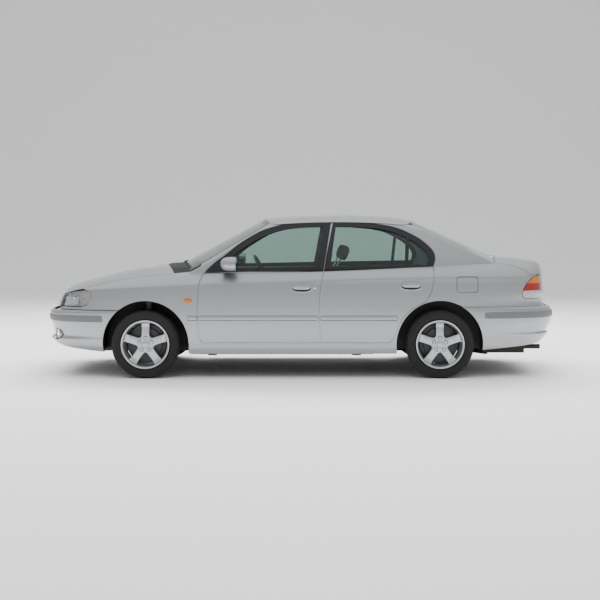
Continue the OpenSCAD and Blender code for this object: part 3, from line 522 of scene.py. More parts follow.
def roof_sheet(t):
    """The roof between its two headers, falling away towards both sides."""
    v = 591 * np.sin(np.linspace(-np.pi / 2, np.pi / 2, 61))[None, :]
    along = np.linspace(0, 1, 70)[:, None]
    lead, trail = smooth(np.abs(v), header_front), smooth(np.abs(v), header_rear)
    pull = np.clip((np.abs(v) - 585) / 6, 0, 1) * 60
    x = (lead + pull) * (1 - along) + (trail - pull) * along
    return np.stack([x, v + 0 * x, smooth(x, roof_z) - roof_drop(v) - t], 2)


dress(shell("roof skin", roof_sheet(-2.6), roof_sheet(-1.0)), paint, "body")

# ---- Window frames, pillars and glass
# The side of the cabin is one leaning surface: its frames are satin black, its rail and pillars
# are painted, and each pane lies 12 mm inside it. Both screens are swept between their edges.


def lit_through(m, colour):
    """Light passes a pane as a plain tint on its way to what lies behind it."""
    nodes, links = m.node_tree.nodes, m.node_tree.links
    ray = add(m, "ShaderNodeLightPath")
    plain = add(m, "ShaderNodeBsdfTransparent", Color=srgb(colour))
    either = add(m, "ShaderNodeMixShader", [(0, ray.outputs["Is Shadow Ray"])])
    links.new(nodes["Principled BSDF"].outputs[0], either.inputs[1])
    links.new(plain.outputs[0], either.inputs[2])
    links.new(either.outputs[0], nodes["Material Output"].inputs["Surface"])
    return m


# Baked black paint, between matt and gloss
frame_black = finish("satin black frame paint", "#121314", 0.4, 0.0, 1.0, 0.05)
# Float glass with the slight green of its iron; clear, and sharp in its reflections
tinted = finish(
    "green tinted glass", "#bcd2cb", 0.03, 0.0, 300.0, 0.0, 0.01, Transmission_Weight=1.0, IOR=1.45
)
lit_through(tinted, "#cfe0da")
front_pane = np.vstack([
    [[-640, 974]],
    through([
        [-640, 1060], [-545, 1136], [-410, 1222], [-290, 1284], [-130, 1328], [70, 1346], [200, 1349]
    ]),
    [[135, 990]]
])
rear_pane = np.vstack([
    [[262, 992], [315, 1350]], through([[522, 1346], [715, 1328], [850, 1296], [938, 1258], [950, 1252]]),
    [[932, 1004]]
])
quarter_pane = np.vstack([
    [[960, 1005], [978, 1236]],
    through([[1045, 1194], [1110, 1136], [1142, 1090], [1144, 1040], [1128, 1008]])
])
belt = [[-1200, 928], [-868, 934], [204, 964], [1183, 978], [1900, 982]]


def cabin_side(t, low=920, high=1460):
    """The leaning side of the cabin, t inside it."""
    x = np.linspace(-1150, 1850, 121)[None, :]
    z = np.linspace(low, high, 46)[:, None]
    x, z = x + 0 * z, z + 0 * x
    return np.stack([x, -(glass_y(x, z) - t), z], 2)


def cabin_skin(name, outer, inner, tools):
    """Skin of the cabin's left side, trimmed by each (outline, how) in turn."""
    piece = shell(name, cabin_side(outer), cabin_side(inner))
    for outline, how in tools:
        cut(piece, prism(outline, 1, -1100, -300), how)
    return piece


above_belt = np.vstack([belt, [[1900, 1600], [-1200, 1600]]])
for label, outline, panes in (
    ("front door", front_door, [front_pane]), ("rear door", rear_door, [rear_pane, quarter_pane])
):
    body = label.replace(" ", "_")
    skin = cabin_skin(
        label + " window frame left", -2.6, -1.0,
        [(grown(outline, -gap), "INTERSECT"), (above_belt, "INTERSECT")]
        + [(p, "DIFFERENCE") for p in panes]
    )
    both_sides(skin, frame_black, body + "_left")
    for k, pane in enumerate(panes):
        part = cabin_skin(f"{label} glass {k} left", 12, 16.5, [(pane, "INTERSECT")])
        panes_made = both_sides(part, tinted, body + "_left")
    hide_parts(body.replace("door", "glass") + "_left")
    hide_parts(body.replace("door", "glass") + "_right")

edge_x = np.linspace(-1080, 1800, 97)
edge_z = np.full(edge_x.shape, 1250.0)
for _ in range(30):
    side = glass_y(edge_x, edge_z)
    over = np.minimum(
        smooth(edge_x, roof_z) - roof_drop(side), 1020 + (edge_x + 1100 - 500 * (side / 1000) ** 2) / 1.85
    )
    over = np.minimum(over, 1412 - (edge_x - 1054 + 450 * (side / 1000) ** 2) / 2.247)
    edge_z = 0.5 * edge_z + 0.5 * over
rail = cabin_skin("roof rail and pillars left", -2.6, -1.0, [
    (np.vstack([np.stack([edge_x, edge_z + 1], 1), [[1800, 700], [-1080, 700]]]), "INTERSECT"),
    (grown(front_door, gap), "DIFFERENCE"),
    (grown(rear_door, gap), "DIFFERENCE"),
])
both_sides(rail, paint, "body")


def screen_sheet(t, back):
    """Windscreen or rear window: across and up between its sill and its header."""
    g = np.linspace(-1, 1, 61)[None, :]
    s = np.linspace(0, 1, 41)[:, None]
    v = g * (672 + (548 - 672) * s) * np.ones_like(s)
    if back:
        header = smooth(np.abs(v), header_rear) + 6
        top = 1412 - (header - 1054 + 450 * (v / 1000) ** 2) / 2.247
        low = 1052 - 90 * (np.abs(v) / 672) ** 3
        z = low + (top - low) * s
        x = 1054 + 2.247 * (1412 - z) - 450 * (v / 1000) ** 2 - 2.2 * t
    else:
        header = smooth(np.abs(v), header_front) - 6
        top = 1020 + (header + 1100 - 500 * (v / 1000) ** 2) / 1.85
        low = 1000 - 60 * (np.abs(v) / 672) ** 3
        z = low + (top - low) * s
        x = -1100 + 1.85 * (z - 1020) + 500 * (v / 1000) ** 2 + 1.9 * t
    return np.stack([x, v, z], 2)


band = tinted.copy()
band.name = "green tinted glass with a black edge band"
rim = add(band, "ShaderNodeAttribute", attribute_name="edge")
see = add(
    band, "ShaderNodeMapRange", [("Value", rim.outputs["Fac"])], From_Min=0.4, From_Max=0.6, To_Min=1.0,
    To_Max=0.0
)
band_shader = band.node_tree.nodes["Principled BSDF"]
band.node_tree.links.new(see.outputs["Result"], band_shader.inputs["Transmission Weight"])
hue = add(band, "ShaderNodeMix", [("Factor", see.outputs["Result"])], data_type="RGBA")
hue.inputs[6].default_value, hue.inputs[7].default_value = srgb("#0c0d0d"), srgb("#bcd2cb")
band.node_tree.links.new(hue.outputs[2], band_shader.inputs["Base Color"])
for name, back in (("windscreen", False), ("rear window", True)):
    outer = screen_sheet(1.5, back)
    inner = screen_sheet(6, back)
    if back:
        outer, inner = outer[:, ::-1], inner[:, ::-1]
    pane = shell(name, outer, inner)
    rows, columns = outer.shape[:2]
    near_edge = np.zeros((rows, columns), np.float32)
    near_edge[:3], near_edge[-2:], near_edge[:, :2], near_edge[:, -2:] = 1, 1, 1, 1
    mark = pane.data.attributes.new("edge", "FLOAT", "POINT")
    mark.data.foreach_set("value", np.tile(near_edge.ravel(), 2))
    dress(pane, band, "body")
    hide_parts(name.replace(" ", "_"))

# ---- Structure under the skins
# Door shells, floor, subframe, axle, liners, tank, exhaust and dashboard keep the shape they were
# cut, cast or moulded in, and each takes the finish of the real part.


def banded(m, rows):
    """Base colour by height: rows of (metres, hex), each colour holding up to the next row."""
    place = add(m, "ShaderNodeTexCoord")
    part = add(m, "ShaderNodeSeparateXYZ", [("Vector", place.outputs["Object"])])
    colour = None
    for (_, below), (at, text) in zip(rows, rows[1:]):
        above = add(m, "ShaderNodeMath", [(0, part.outputs["Z"])], operation="GREATER_THAN")
        above.inputs[1].default_value = at
        mixed = add(m, "ShaderNodeMix", [("Factor", above.outputs[0])], data_type="RGBA")
        if colour is None:
            mixed.inputs[6].default_value = srgb(below)
        else:
            m.node_tree.links.new(colour, mixed.inputs[6])
        mixed.inputs[7].default_value = srgb(text)
        colour = mixed.outputs[2]
    m.node_tree.links.new(colour, m.node_tree.nodes["Principled BSDF"].inputs["Base Color"])
    return m


# Moulded, sprayed, cast, woven and vulcanised surfaces, in that order of grain
trim_black = finish("grained black plastic", "#17181a", 0.6, 0.0, 0.9, 0.3)
underbody = finish("grey underbody coating", "#3a3b3d", 0.8, 0.0, 6.0, 0.5)
clear_lens = finish(
    "clear lamp polycarbonate", "#f4f6f6", 0.03, 0.0, 300.0, 0.0, 0.01, Transmission_Weight=1.0, IOR=1.5
)
lit_through(clear_lens, "#f6f8f8")
alloy = finish(
    "silver lacquered cast alloy", "#c3c5c7", 0.36, 0.85, 1.5, 0.06, 0.05, Coat_Weight=0.6,
    Coat_Roughness=0.1
)
iron = finish("machined cast iron", "#4a4a4c", 0.5, 0.8, 1.0, 0.3)
rubber = finish("black tyre rubber", "#141415", 0.78, 0.0, 1.2, 0.35)
cloth = finish("grey woven seat cloth", "#4b4e52", 0.9, 0.0, 1.6, 0.8)
steel = finish("dull exhaust steel", "#3d3b38", 0.6, 0.7, 4.0, 0.2)
door_shell = banded(
    finish("door shell, painted below and black above", "#b9bbbd", 0.45, 0.4, 1.0, 0.1),
    [(0, "#a9abad"), (0.945, "#121314")]
)
inner_trim = finish("charcoal moulded trim", "#2c2e31", 0.7, 0.0, 1.0, 0.3)
shelf = banded(
    finish("parcel shelf cloth below, painted strip above", "#2c2e31", 0.5, 0.3, 1.0, 0.1),
    [(0, "#2c2e31"), (0.945, "#a7a9ac")]
)
lamp_glass = finish(
    "fluted fog lamp glass over a bright bowl", "#d4d8da", 0.12, 0.75, 6.0, 0.5, 0.03, Coat_Weight=1.0
)
lamp_core = banded(
    finish("ribbed tail lamp plastic", "#a01812", 0.25, 0.0, 9.0, 0.4),
    [(0, "#c9ccce"), (0.773, "#8e1410"), (0.835, "#c4661a")]
)
by_node = {
    paint: [
        "body_side_left", "body_side_right", "roof_panel", "front_wing_left", "front_wing_right",
        "front_bumper", "rear_bumper", "bonnet", "boot_lid", "fuel_flap", "mirror_left", "mirror_right"
    ],
    door_shell: ["front_door_left", "front_door_right", "rear_door_left", "rear_door_right"],
    trim_black: ["grille", "cowl_panel", "wheel_liners", "fuel_tank", "steering_wheel"],
    underbody: ["floor_pan", "front_panel", "bumper_beams"],
    iron: ["front_subframe", "rear_axle", "front_knuckle_left", "front_knuckle_right", "engine_block"],
    steel: ["exhaust"],
    inner_trim: ["dashboard"],
    shelf: ["parcel_shelf"],
    lamp_glass: ["fog_lamps"],
    cloth: ["front_seats", "rear_seat"],
    lamp_core: ["tail_lamps"],
    clear_lens: ["headlamps"],
    tinted: [
        "windscreen", "rear_window", "front_glass_left", "front_glass_right", "rear_glass_left",
        "rear_glass_right"
    ],
    alloy: ["front_rim_left", "front_rim_right", "rear_rim_left", "rear_rim_right"],
    rubber: ["front_tyre_left", "front_tyre_right", "rear_tyre_left", "rear_tyre_right"],
}
for material, names in by_node.items():
    for name in names:
        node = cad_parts[name]
        node.data.materials.clear()
        node.data.materials.append(material)

# ---- Wheels
# A five-spoke alloy with a barrel, hub, nuts and plain cap, a brake disc behind it, and a tyre
# whose tread is cut by four grooves and slanted slots. All are turned or swept about the axle.


def surface(name, grid, around=False, closed=False, capped=False):
    """Grid of points in mm as a mesh: columns may wrap, rows may close, ends may be capped."""
    rows, columns = grid.shape[:2]
    index = np.arange(rows * columns).reshape(rows, columns)
    if around:
        index = np.hstack([index, index[:, :1]])
    if closed:
        index = np.vstack([index, index[:1]])
    faces = np.stack(
        [index[:-1, :-1], index[:-1, 1:], index[1:, 1:], index[1:, :-1]], axis=2
    ).reshape(-1, 4).tolist()
    points = grid.reshape(-1, 3)
    if capped:
        n = rows * columns
        points = np.vstack([points, grid[0].mean(axis=0), grid[-1].mean(axis=0)])
        first, last = index[0], index[-1]
        faces += [[first[k + 1], first[k], n] for k in range(len(first) - 1)]
        faces += [[last[k], last[k + 1], n + 1] for k in range(len(last) - 1)]
    mesh = bpy.data.meshes.new(name.replace(" ", "_"))
    mesh.from_pydata((points / 1000).tolist(), [], [[int(v) for v in f] for f in faces])
    b = bmesh.new()
    b.from_mesh(mesh)
    bmesh.ops.remove_doubles(b, verts=b.verts, dist=1e-6)
    bmesh.ops.recalc_face_normals(b, faces=b.faces)
    b.to_mesh(mesh)
    b.free()
    piece = bpy.data.objects.new(name.replace(" ", "_"), mesh)
    bpy.context.scene.collection.objects.link(piece)
    return piece


def turned(profile, n=96):
    """Closed (radius, depth) profile turned about the axle; depth is outwards from mid tyre."""
    q = np.linspace(0, 2 * np.pi, n, endpoint=False)
    p = np.array(profile, float)
    return np.stack([p[:, :1] * np.sin(q), -p[:, 1:] + 0 * q, p[:, :1] * np.cos(q)], 2)


def cos_to(q, power):
    """Cosine raised to a power with its sign kept, which squares off a circle."""
    return np.sign(np.cos(q)) * np.abs(np.cos(q)) ** power


def sin_to(q, power):
    """Sine raised to a power with its sign kept."""
    return np.sign(np.sin(q)) * np.abs(np.sin(q)) ** power


def swept(path, across, width, depth, power=4, n=28):
    """Superellipse section swept along a path: across gives the direction of its width at each point."""
    path, across = np.array(path, float), np.array(across, float) + 0 * np.array(path, float)
    along = np.gradient(path, axis=0)
    along /= np.linalg.norm(along, axis=1)[:, None]
    across = across - along * (across * along).sum(axis=1)[:, None]
    across /= np.linalg.norm(across, axis=1)[:, None]
    deep = np.cross(along, across)
    q = np.linspace(0, 2 * np.pi, n, endpoint=False)
    c = cos_to(q, 2 / power)
    d = sin_to(q, 2 / power)
    w, t = np.broadcast_to(width, len(path)), np.broadcast_to(depth, len(path))
    return (
        path[:, None] + across[:, None] * (c[None, :, None] * w[:, None, None])
        + deep[:, None] * (d[None, :, None] * t[:, None, None])
    )


def joined(name, pieces):
    """Several meshes as one piece."""
    b = bmesh.new()
    for piece in pieces:
        b.from_mesh(piece.data)
        old = piece.data
        bpy.data.objects.remove(piece)
        bpy.data.meshes.remove(old)
    mesh = bpy.data.meshes.new(name.replace(" ", "_"))
    b.to_mesh(mesh)
    b.free()
    whole = bpy.data.objects.new(name.replace(" ", "_"), mesh)
    bpy.context.scene.collection.objects.link(whole)
    return whole


def moved(piece, name, by, side, body, material):
    """Copy of a wheel piece set at its axle, turned over for the right side."""
    mesh = piece.data.copy()
    mesh.name = name.replace(" ", "_")
    co = np.empty(len(mesh.vertices) * 3, np.float32)
    mesh.vertices.foreach_get("co", co)
    co = co.reshape(-1, 3) * [1, side, 1] + np.array(by) / 1000
    mesh.vertices.foreach_set("co", co.ravel().astype(np.float32))
    if side < 0:
        mesh.flip_normals()
    copy = bpy.data.objects.new(mesh.name, mesh)
    bpy.context.scene.collection.objects.link(copy)
    return dress(copy, material, body)


# Bright plating on the nuts: a near mirror
chrome = finish("vapour-coated bright metal", "#e6e8ea", 0.08, 1.0, 200.0, 0.0, 0.03)
axle_z, wheel_y = 302, 740
rim_profile = [
    [216, 88], [216.5, 93], [214, 96.5], [209, 97], [204, 95], [199, 89], [196, 80], [194, 66],
    [186, 40], [181, 0], [183, -40], [190, -70], [200, -86], [209, -93], [216, -95], [216, -88],
    [204, -84], [196, -66], [188, -40], [186, 0], [190, 40], [199, 66], [201, 80], [206, 86],
]
spoke = []
for turn in np.radians(90 + np.arange(5) * 72):
    out = np.linspace(30, 199, 20)
    face = 74 - 10 * np.clip((out - 60) / 130, 0, 1) ** 2 + 22 * np.clip((out - 150) / 50, 0, 1) ** 2
    path = np.stack([out * np.cos(turn), -(face - 17), out * np.sin(turn)], 1)
    wide = (
        37 - 3 * np.sin(np.clip((out - 60) / 130, 0, 1) * np.pi)
        + 9 * np.clip((62 - out) / 30, 0, 1) + 7 * np.clip((out - 178) / 20, 0, 1) ** 2
    )
    spoke.append(surface(
        "spoke", swept(path, [-np.sin(turn), 0, np.cos(turn)], wide, 15, 5, 32), around=True, capped=True
    ))
hub = surface(
    "hub", turned([[0, 60], [40, 62], [68, 66], [77, 60], [80, 40], [70, 20], [30, 16], [0, 16]], 72),
    around=True
)
barrel = surface("barrel", turned(rim_profile, 144), around=True, closed=True)
alloy_wheel = joined("alloy wheel", spoke + [hub, barrel])
nuts, wells = [], []
for turn in np.radians(90 + np.arange(5) * 72):
    x, z = 57.15 * np.cos(turn), 57.15 * np.sin(turn)
    ring = turned(
        [[0, 71.5], [12.5, 71.8], [15, 73.6], [16.5, 75.5], [18, 73.8], [18, 60], [0, 60]], 40
    ) + [x, 0, z]
    wells.append(surface("well", ring, around=True))
    six = turned([[0, 79], [6, 79.5], [9, 78], [9.6, 76], [9.6, 66], [0, 66]], 6) + [x, 0, z]
    nuts.append(surface("nut", six, around=True))
wheel_nuts, wheel_wells = joined("wheel nuts", nuts), joined("wheel nut wells", wells)
cap = surface(
    "centre cap", turned([[0, 82], [12, 81.6], [22, 80], [28, 77.5], [30, 74], [31, 66], [0, 66]], 60),
    around=True
)
brake = surface(
    "brake disc",
    turned([[60, 34], [64, 30], [64, 14], [139, 14], [140, 13], [140, -7], [139, -8], [60, -8]], 96),
    around=True, closed=True
)
half_tread = [
    [214, 77], [217, 84], [222, 90], [232, 99], [246, 102.4], [252, 103.4], [254, 103.4],
    [262, 102.6], [276, 100.5], [286, 95], [292, 90.5], [296, 86], [299, 79],
]
crown = np.arange(74, -75, -2.0)
outer = (
    half_tread + [[302 - 1.6 * (f / 74) ** 2, f] for f in crown]
    + [[r, -f] for r, f in half_tread[::-1]]
)
inner = [
    [214, -64], [238, -86], [262, -89], [280, -72], [290, -52], [290, 52], [280, 72], [262, 89],
    [238, 86], [214, 64],
]
profile = np.array(outer + inner)
grid = turned(profile, 400)
depth, turn = -grid[..., 1], np.arctan2(grid[..., 0], grid[..., 2])
radius = np.hypot(grid[..., 0], grid[..., 2])
tread = (radius > 294) & (np.arange(len(profile))[:, None] < len(outer))
groove = (np.abs(np.abs(depth) - 18) < 4.2) | (np.abs(np.abs(depth) - 52) < 4.2)
slot = ((turn * 34 / np.pi + np.abs(depth) / 26) % 1 < 0.14) & (np.abs(depth) > 24)
cutback = np.where(tread & groove, 7.5, np.where(tread & slot, 5.5, 0))
grid = grid * (1 - cutback / radius)[..., None] ** [1, 0, 1]
tyre_shape = surface("tyre", grid, around=True, closed=True)
for end, x in (("front", front_axle), ("rear", rear_axle)):
    for hand, side in (("left", 1), ("right", -1)):
        place, body = [x, -wheel_y * side, axle_z], f"{end}_wheel_{hand}"
        tag = f"{end} {hand}"
        whole = moved(alloy_wheel, f"alloy wheel {tag}", place, side, body, alloy)
        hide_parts(f"{end}_rim_{hand}")
        moved(wheel_nuts, f"wheel nuts {tag}", place, side, body, chrome)
        moved(wheel_wells, f"nut wells {tag}", place, side, body, iron)
        moved(cap, f"centre cap {tag}", place, side, body, alloy)
        moved(brake, f"brake disc {tag}", place, side, body, iron)
        tyre = moved(tyre_shape, f"tyre {tag}", place, side, body, rubber)
        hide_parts(f"{end}_tyre_{hand}")
shield = surface(
    "brake shield",
    turned(
        [
            [44, -12], [120, -14], [172, -14], [176, -18], [176, -62], [173, -62], [172, -18], [120, -17],
            [44, -16]
        ],
        96
    ),
    around=True, closed=True
)
for end, x in (("front", front_axle), ("rear", rear_axle)):
    for hand, side in (("left", 1), ("right", -1)):
        moved(
            shield, f"brake shield {end} {hand}", [x, -wheel_y * side, axle_z], side,
            f"front_knuckle_{hand}" if end == "front" else "body", iron
        )
for spare in (alloy_wheel, wheel_nuts, wheel_wells, cap, brake, tyre_shape, shield):
    bpy.data.objects.remove(spare)

# ---- Mouldings and rub strips
# Raised plastic strips follow the side at a fixed height, rounded across and drawn down at their
# ends. They are clipped into the doors and bumpers over a thin black strip that paints the shade lines
# along their edges.
# Unpainted polypropylene: grey, grained and nearly matt
trim_grey = finish("grained grey moulding plastic", "#6b6d70", 0.55, 0.0, 0.8, 0.25)


def strip(name, x0, x1, z0, z1, height, slope=0.0):
    """Raised strip on the left side: height times (1 - |u|^16) along and (1 - |v|^4)^0.5 across."""
    u = np.concatenate([
        -1 + 0.06 * np.linspace(0, 1, 8) ** 2, np.linspace(-0.93, 0.93, 60),
        1 - 0.06 * np.linspace(1, 0, 8) ** 2
    ])[None, :]
    v = np.sin(np.linspace(-np.pi / 2, np.pi / 2, 15))[:, None]
    x = (x0 + x1) / 2 + (x1 - x0) / 2 * u + 0 * v
    z = (z0 + z1) / 2 + (z1 - z0) / 2 * v + slope * (x - x0)
    lift = height * np.clip(1 - np.abs(u) ** 60, 0, None) * np.clip(1 - v**4, 0, None) ** 0.5
    outer = np.stack([x, -(hull_y(x, z, -1.5) + lift), z], 2)
    inner = np.stack([x, -hull_y(x, z, -0.2), z], 2)
    return shell(name, outer, inner)


for name, body, span in (
    ("wing moulding", "body", (-1008, -925, 517, 558)),
    ("front door moulding", "front_door_left", (-912, 155, 517, 558)),
    ("rear door moulding", "rear_door_left", (168, 858, 517, 558)),
):
    # A black strip a little larger than each moulding, standing out 2.4 mm, is painted shade along its top
    # and bottom edges.
    painted_shade_strip = strip(name + " seal left", span[0] - 2, span[1] + 2, span[2] - 4, span[3] + 4, 2.4)
    both_sides(painted_shade_strip, trim_black, body)
    both_sides(strip(name + " left", *span, 13), paint, body)
for name, rear, start, levels in (
    ("front bumper rub strip", False, 1755, (496, 556)), ("rear bumper rub strip", True, 1606, (530, 588))
):
    top = 2330.0
    r = (1 - np.linspace(0, (1 - (start / top) ** 5) ** 0.2, 70) ** 5) ** 0.2
    r = np.concatenate([r[::-1], r[1:]])[None, :]
    hand = np.concatenate([-np.ones(70), np.ones(69)])[None, :]
    v = np.sin(np.linspace(-np.pi / 2, np.pi / 2, 13))[:, None]
    z = np.mean(levels) + (levels[1] - levels[0]) / 2 * v + 0 * r
    u = np.linspace(-1, 1, r.shape[1])[None, :]
    lift = 9 * np.clip(1 - np.abs(u) ** 80, 0, None) * np.clip(1 - v**6, 0, None) ** 0.5
    layers = []
    for t in (-1.5 - lift, -0.2 + 0 * lift):
        flat = np.array(rear) & np.ones(z.shape, bool)
        x = r * reach(z, flat, t) * (1 if rear else -1)
        y = hand * (smooth(z, half_y) - t) * (1 - np.clip(r, 0, 1) ** 5) ** 0.2
        layers.append(np.stack([x, y, z], 2))
    if not rear:
        layers = [layer[:, ::-1] for layer in layers]
    dress(shell(name, layers[0], layers[1]), trim_grey, "body")

# ---- Door handles, side repeaters and mirrors
# Each handle is a pull paddle over a black oval of painted shade where its finger recess lies, in an oval
# surround; the mirrors are rounded shells on short feet with a bright glass facing back.


def oval_on_side(name, x, z, a, c, low, high, power=2.6, y_of=hull_y):
    """Superellipse button on the left side: its height falls from the middle as (1 - d^power)^(1/power)."""
    q = np.linspace(0, 2 * np.pi, 64, endpoint=False)[None, :]
    s = np.sin(np.linspace(0, np.pi / 2, 12))[:, None]
    px = x + a * s * cos_to(q, 2 / power)
    pz = z + c * s * sin_to(q, 2 / power)
    lift = low + (high - low) * np.clip(1 - s**power, 0, None) ** (1 / power) + 0 * q
    base = y_of(px, pz, -2.6)
    top = np.stack([px, -(base + lift), pz], 2)
    foot = np.stack([px[-1:], -(base[-1:] - 2.0), pz[-1:]], 2)
    grid = np.concatenate([top, foot])
    return surface(name, grid, around=True, capped=True)


for name, body, x, z in (("front door", "front_door", 4, 806), ("rear door", "rear_door", 976, 824)):
    surround = oval_on_side(name + " handle surround left", x, z, 100, 43, 0.2, 3.2)
    both_sides(surround, paint, body + "_left")
    # The black oval under each paddle is painted shade standing for the finger recess, not a dark part.
    painted_recess_shade = oval_on_side(name + " handle recess left", x, z - 4, 84, 31, 3.0, 4.2)
    both_sides(painted_recess_shade, trim_black, body + "_left")
    path = np.array([
        [x - 82 + 164 * k, -(hull_y(np.array(x), np.array(z), 0) + 9 + 9 * math.sin(math.pi * k)), z + 8]
        for k in np.linspace(0, 1, 24)
    ])
    taper = 21 * (1 - np.abs(np.linspace(-1, 1, 24)) ** 6) ** 0.5 + 2
    paddle = surface(
        name + " handle paddle left", swept(path, [0, 0, 1], taper, 6, 3, 24), around=True, capped=True
    )
    both_sides(paddle, paint, body + "_left")
lock = surface(
    "door lock barrel", turned([[0, 2.2], [7, 2.2], [9, 1.2], [10, -3], [0, -3]], 40) + [122, -842, 806],
    around=True
)
dress(lock, chrome, "front_door_left")
amber = finish(
    "amber indicator lens", "#e07818", 0.1, 0.0, 3.0, 0.1, 0.02, Transmission_Weight=0.35, Coat_Weight=1.0
)
repeater = oval_on_side("side repeater left", -1005, 695, 37, 22, 1.0, 11.0)
both_sides(repeater, amber, "body")

q, s = np.linspace(
    0, 2 * np.pi, 72, endpoint=False
)[None, :], np.linspace(-np.pi / 2, np.pi / 2, 49)[:, None]
power = 2 / 2.7
along = cos_to(s, power)
px = np.minimum(-600 + 112 * along * cos_to(q, power), -577)
px = -577 + (px + 577) * (1 - 0.16 * np.sin(s) ** 2)
py = -(872 + 118 * sin_to(s, power)) + 0 * q
pz = 1019 + 63 * along * sin_to(q, power)
mirror = surface("door mirror left", np.stack([px, py, pz], 2), around=True)
mirror, twin = both_sides(mirror, paint, "front_door_left")
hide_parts("mirror_left")
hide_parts("mirror_right")
foot_path = [[-640 - 6 * k, -745 - 18 * k, 984 + 4 * k] for k in range(6)]
foot = surface(
    "mirror foot left",
    swept(foot_path, [1, 0, 0], [66, 60, 54, 48, 44, 42], [34, 30, 26, 23, 21, 20], 3, 30), around=True,
    capped=True
)
both_sides(foot, trim_black, "front_door_left")
q = np.linspace(0, 2 * np.pi, 64, endpoint=False)[None, :]
s = np.linspace(0, 1, 8)[:, None]
gy = -872 + 104 * s * cos_to(q, 2 / 3.2)
gz = 1019 + 51 * s * sin_to(q, 2 / 3.2)
face = np.stack([-575.5 + 1.2 * (1 - s**2) + 0 * q, gy, gz], 2)
face = np.concatenate([face, np.stack([-578 + 0 * q, gy[-1:], gz[-1:]], 2)])
mirror_glass = surface("mirror glass left", face, around=True, capped=True)
both_sides(mirror_glass, chrome, "front_door_left")

# ---- Lamps, plates, wipers and cowl
# Clear lenses carry on the hull's surface; behind each headlamp lens are a bright housing, two
# bowls and an amber bulb. The plates are blank, and the wipers lie along the foot of the screen.
lens = side_skin("headlamp lens left", [-2340, -900, 600], [-1840, -380, 790], [
    (grown(lamp_side, -gap), 1, -1100, -386, "INTERSECT")])
cut(lens, bonnet_tool(1), "DIFFERENCE")
dress(lens, clear_lens, "body")
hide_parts("headlamps")
mirrored(lens, "headlamp lens right", "body")


def housing_sheet(t):
    """Back wall of the lamp, t behind the lens: around the corner, up to under the bonnet."""
    w = np.linspace(0.95, 0.44, 80)[None, :]
    r = (1 - w**5) ** 0.2
    crest = np.full(r.shape, 740.0)
    for _ in range(60):
        crest = 0.5 * crest + 0.5 * smooth(-r * reach(crest, False, t), shoulder_z)
    z = 612 + (crest - 5 - 612) * np.linspace(0, 1, 24)[:, None]
    return np.stack([-r * reach(z, False, t), -(smooth(z, half_y) - t) * w, z], 2)


lamp_inner = finish("pale satin lamp housing", "#bfc3c6", 0.3, 0.15, 3.0, 0.1, Coat_Weight=0.5)
housing = shell("headlamp housing left", housing_sheet(54), housing_sheet(58))
cut(housing, prism(grown(lamp_side, -1), 1, -1100, -386), "INTERSECT")
both_sides(housing, lamp_inner, "body")
for k, (x, y, z, r) in enumerate(((-2150, -545, 690, 50), (-2060, -660, 692, 44))):
    bowl = [
        [2, -38], [r * 0.55, -26], [r * 0.85, -8], [r, 8], [r + 3, 8], [r * 0.88, -10], [r * 0.57, -29],
        [2, -41]
    ]
    turn = math.radians(52)
    g = turned(bowl, 56)
    g = np.stack(
        [
            g[..., 0] * math.cos(turn) + g[..., 1] * math.sin(turn),
            -g[..., 0] * math.sin(turn) + g[..., 1] * math.cos(turn), g[..., 2]
        ],
        2
    )
    g += [x + 30, y + 20, z]
    piece = surface(f"headlamp bowl {k} left", g, around=True, closed=True)
    both_sides(piece, chrome, "body")
bulb = surface(
    "indicator bulb left",
    turned([[0, 20], [9, 17], [13, 8], [13, -6], [9, -18], [0, -20]], 32) + [-1950, -742, 700],
    around=True
)
both_sides(bulb, amber, "body")
tail_lens = side_skin(
    "tail lamp lens left", [1960, -900, 690], [2400, -550, 920],
    [(grown(tail_side, -gap), 1, -1100, -563, "INTERSECT")]
)
tail_glass = banded(
    finish(
        "tail lamp lens", "#a01812", 0.06, 0.0, 5.0, 0.05, 0.02, Transmission_Weight=0.3, Coat_Weight=1.0
    ),
    [(0, "#c9ccce"), (0.773, "#b01410"), (0.838, "#e0801c")]
)
both_sides(tail_lens, tail_glass, "body")
for side, hand in ((-1, "left"), (1, "right")):
    ring = turned([[50, 4], [54, 6], [58, 3], [58, -20], [50, -20]], 56)
    ring = np.stack([ring[..., 1], ring[..., 0], ring[..., 2]], 2)
    tilt = math.radians(24) * -side
    ring = np.stack(
        [
            ring[..., 0] * math.cos(tilt) - ring[..., 1] * math.sin(tilt),
            ring[..., 0] * math.sin(tilt) + ring[..., 1] * math.cos(tilt), ring[..., 2]
        ],
        2
    )
    ring += [-2178, side * 596, 378]
    dress(surface("fog lamp surround " + hand, ring, around=True, closed=True), trim_grey, "body")


def plate(name, x, z, half_w, half_h, t, facing):
    """Blank plate: a rounded rectangle with a slightly domed face."""
    q = np.linspace(0, 2 * np.pi, 72, endpoint=False)[None, :]
    s = np.array([0, 0.5, 0.9, 0.97, 1.0, 1.0])[:, None]
    lift = np.array([1, 1, 1, 0.8, 0.4, -1.0])[:, None]
    y = half_w * s * cos_to(q, 2 / 14)
    zz = z + half_h * s * sin_to(q, 2 / 9)
    return surface(name, np.stack([x + facing * t * lift + 0 * q, y, zz], 2), around=True, capped=True)


plate_white = finish("blank reflective plate", "#e9eae6", 0.4, 0.0, 3.0, 0.05)
dress(plate("front plate", -2327, 452, 260, 56, 2.5, -1), plate_white, "body")
dress(plate("front plate holder", -2322, 450, 268, 62, 4, -1), trim_black, "body")
dress(plate("rear plate", 2262, 742, 260, 56, 2.5, 1), plate_white, "boot_lid")


def on_screen(v, z, t):
    """X of a point t inside the windscreen's swept surface."""
    return -1100 + 1.85 * (z - 1020) + 500 * (v / 1000) ** 2 + 1.9 * t


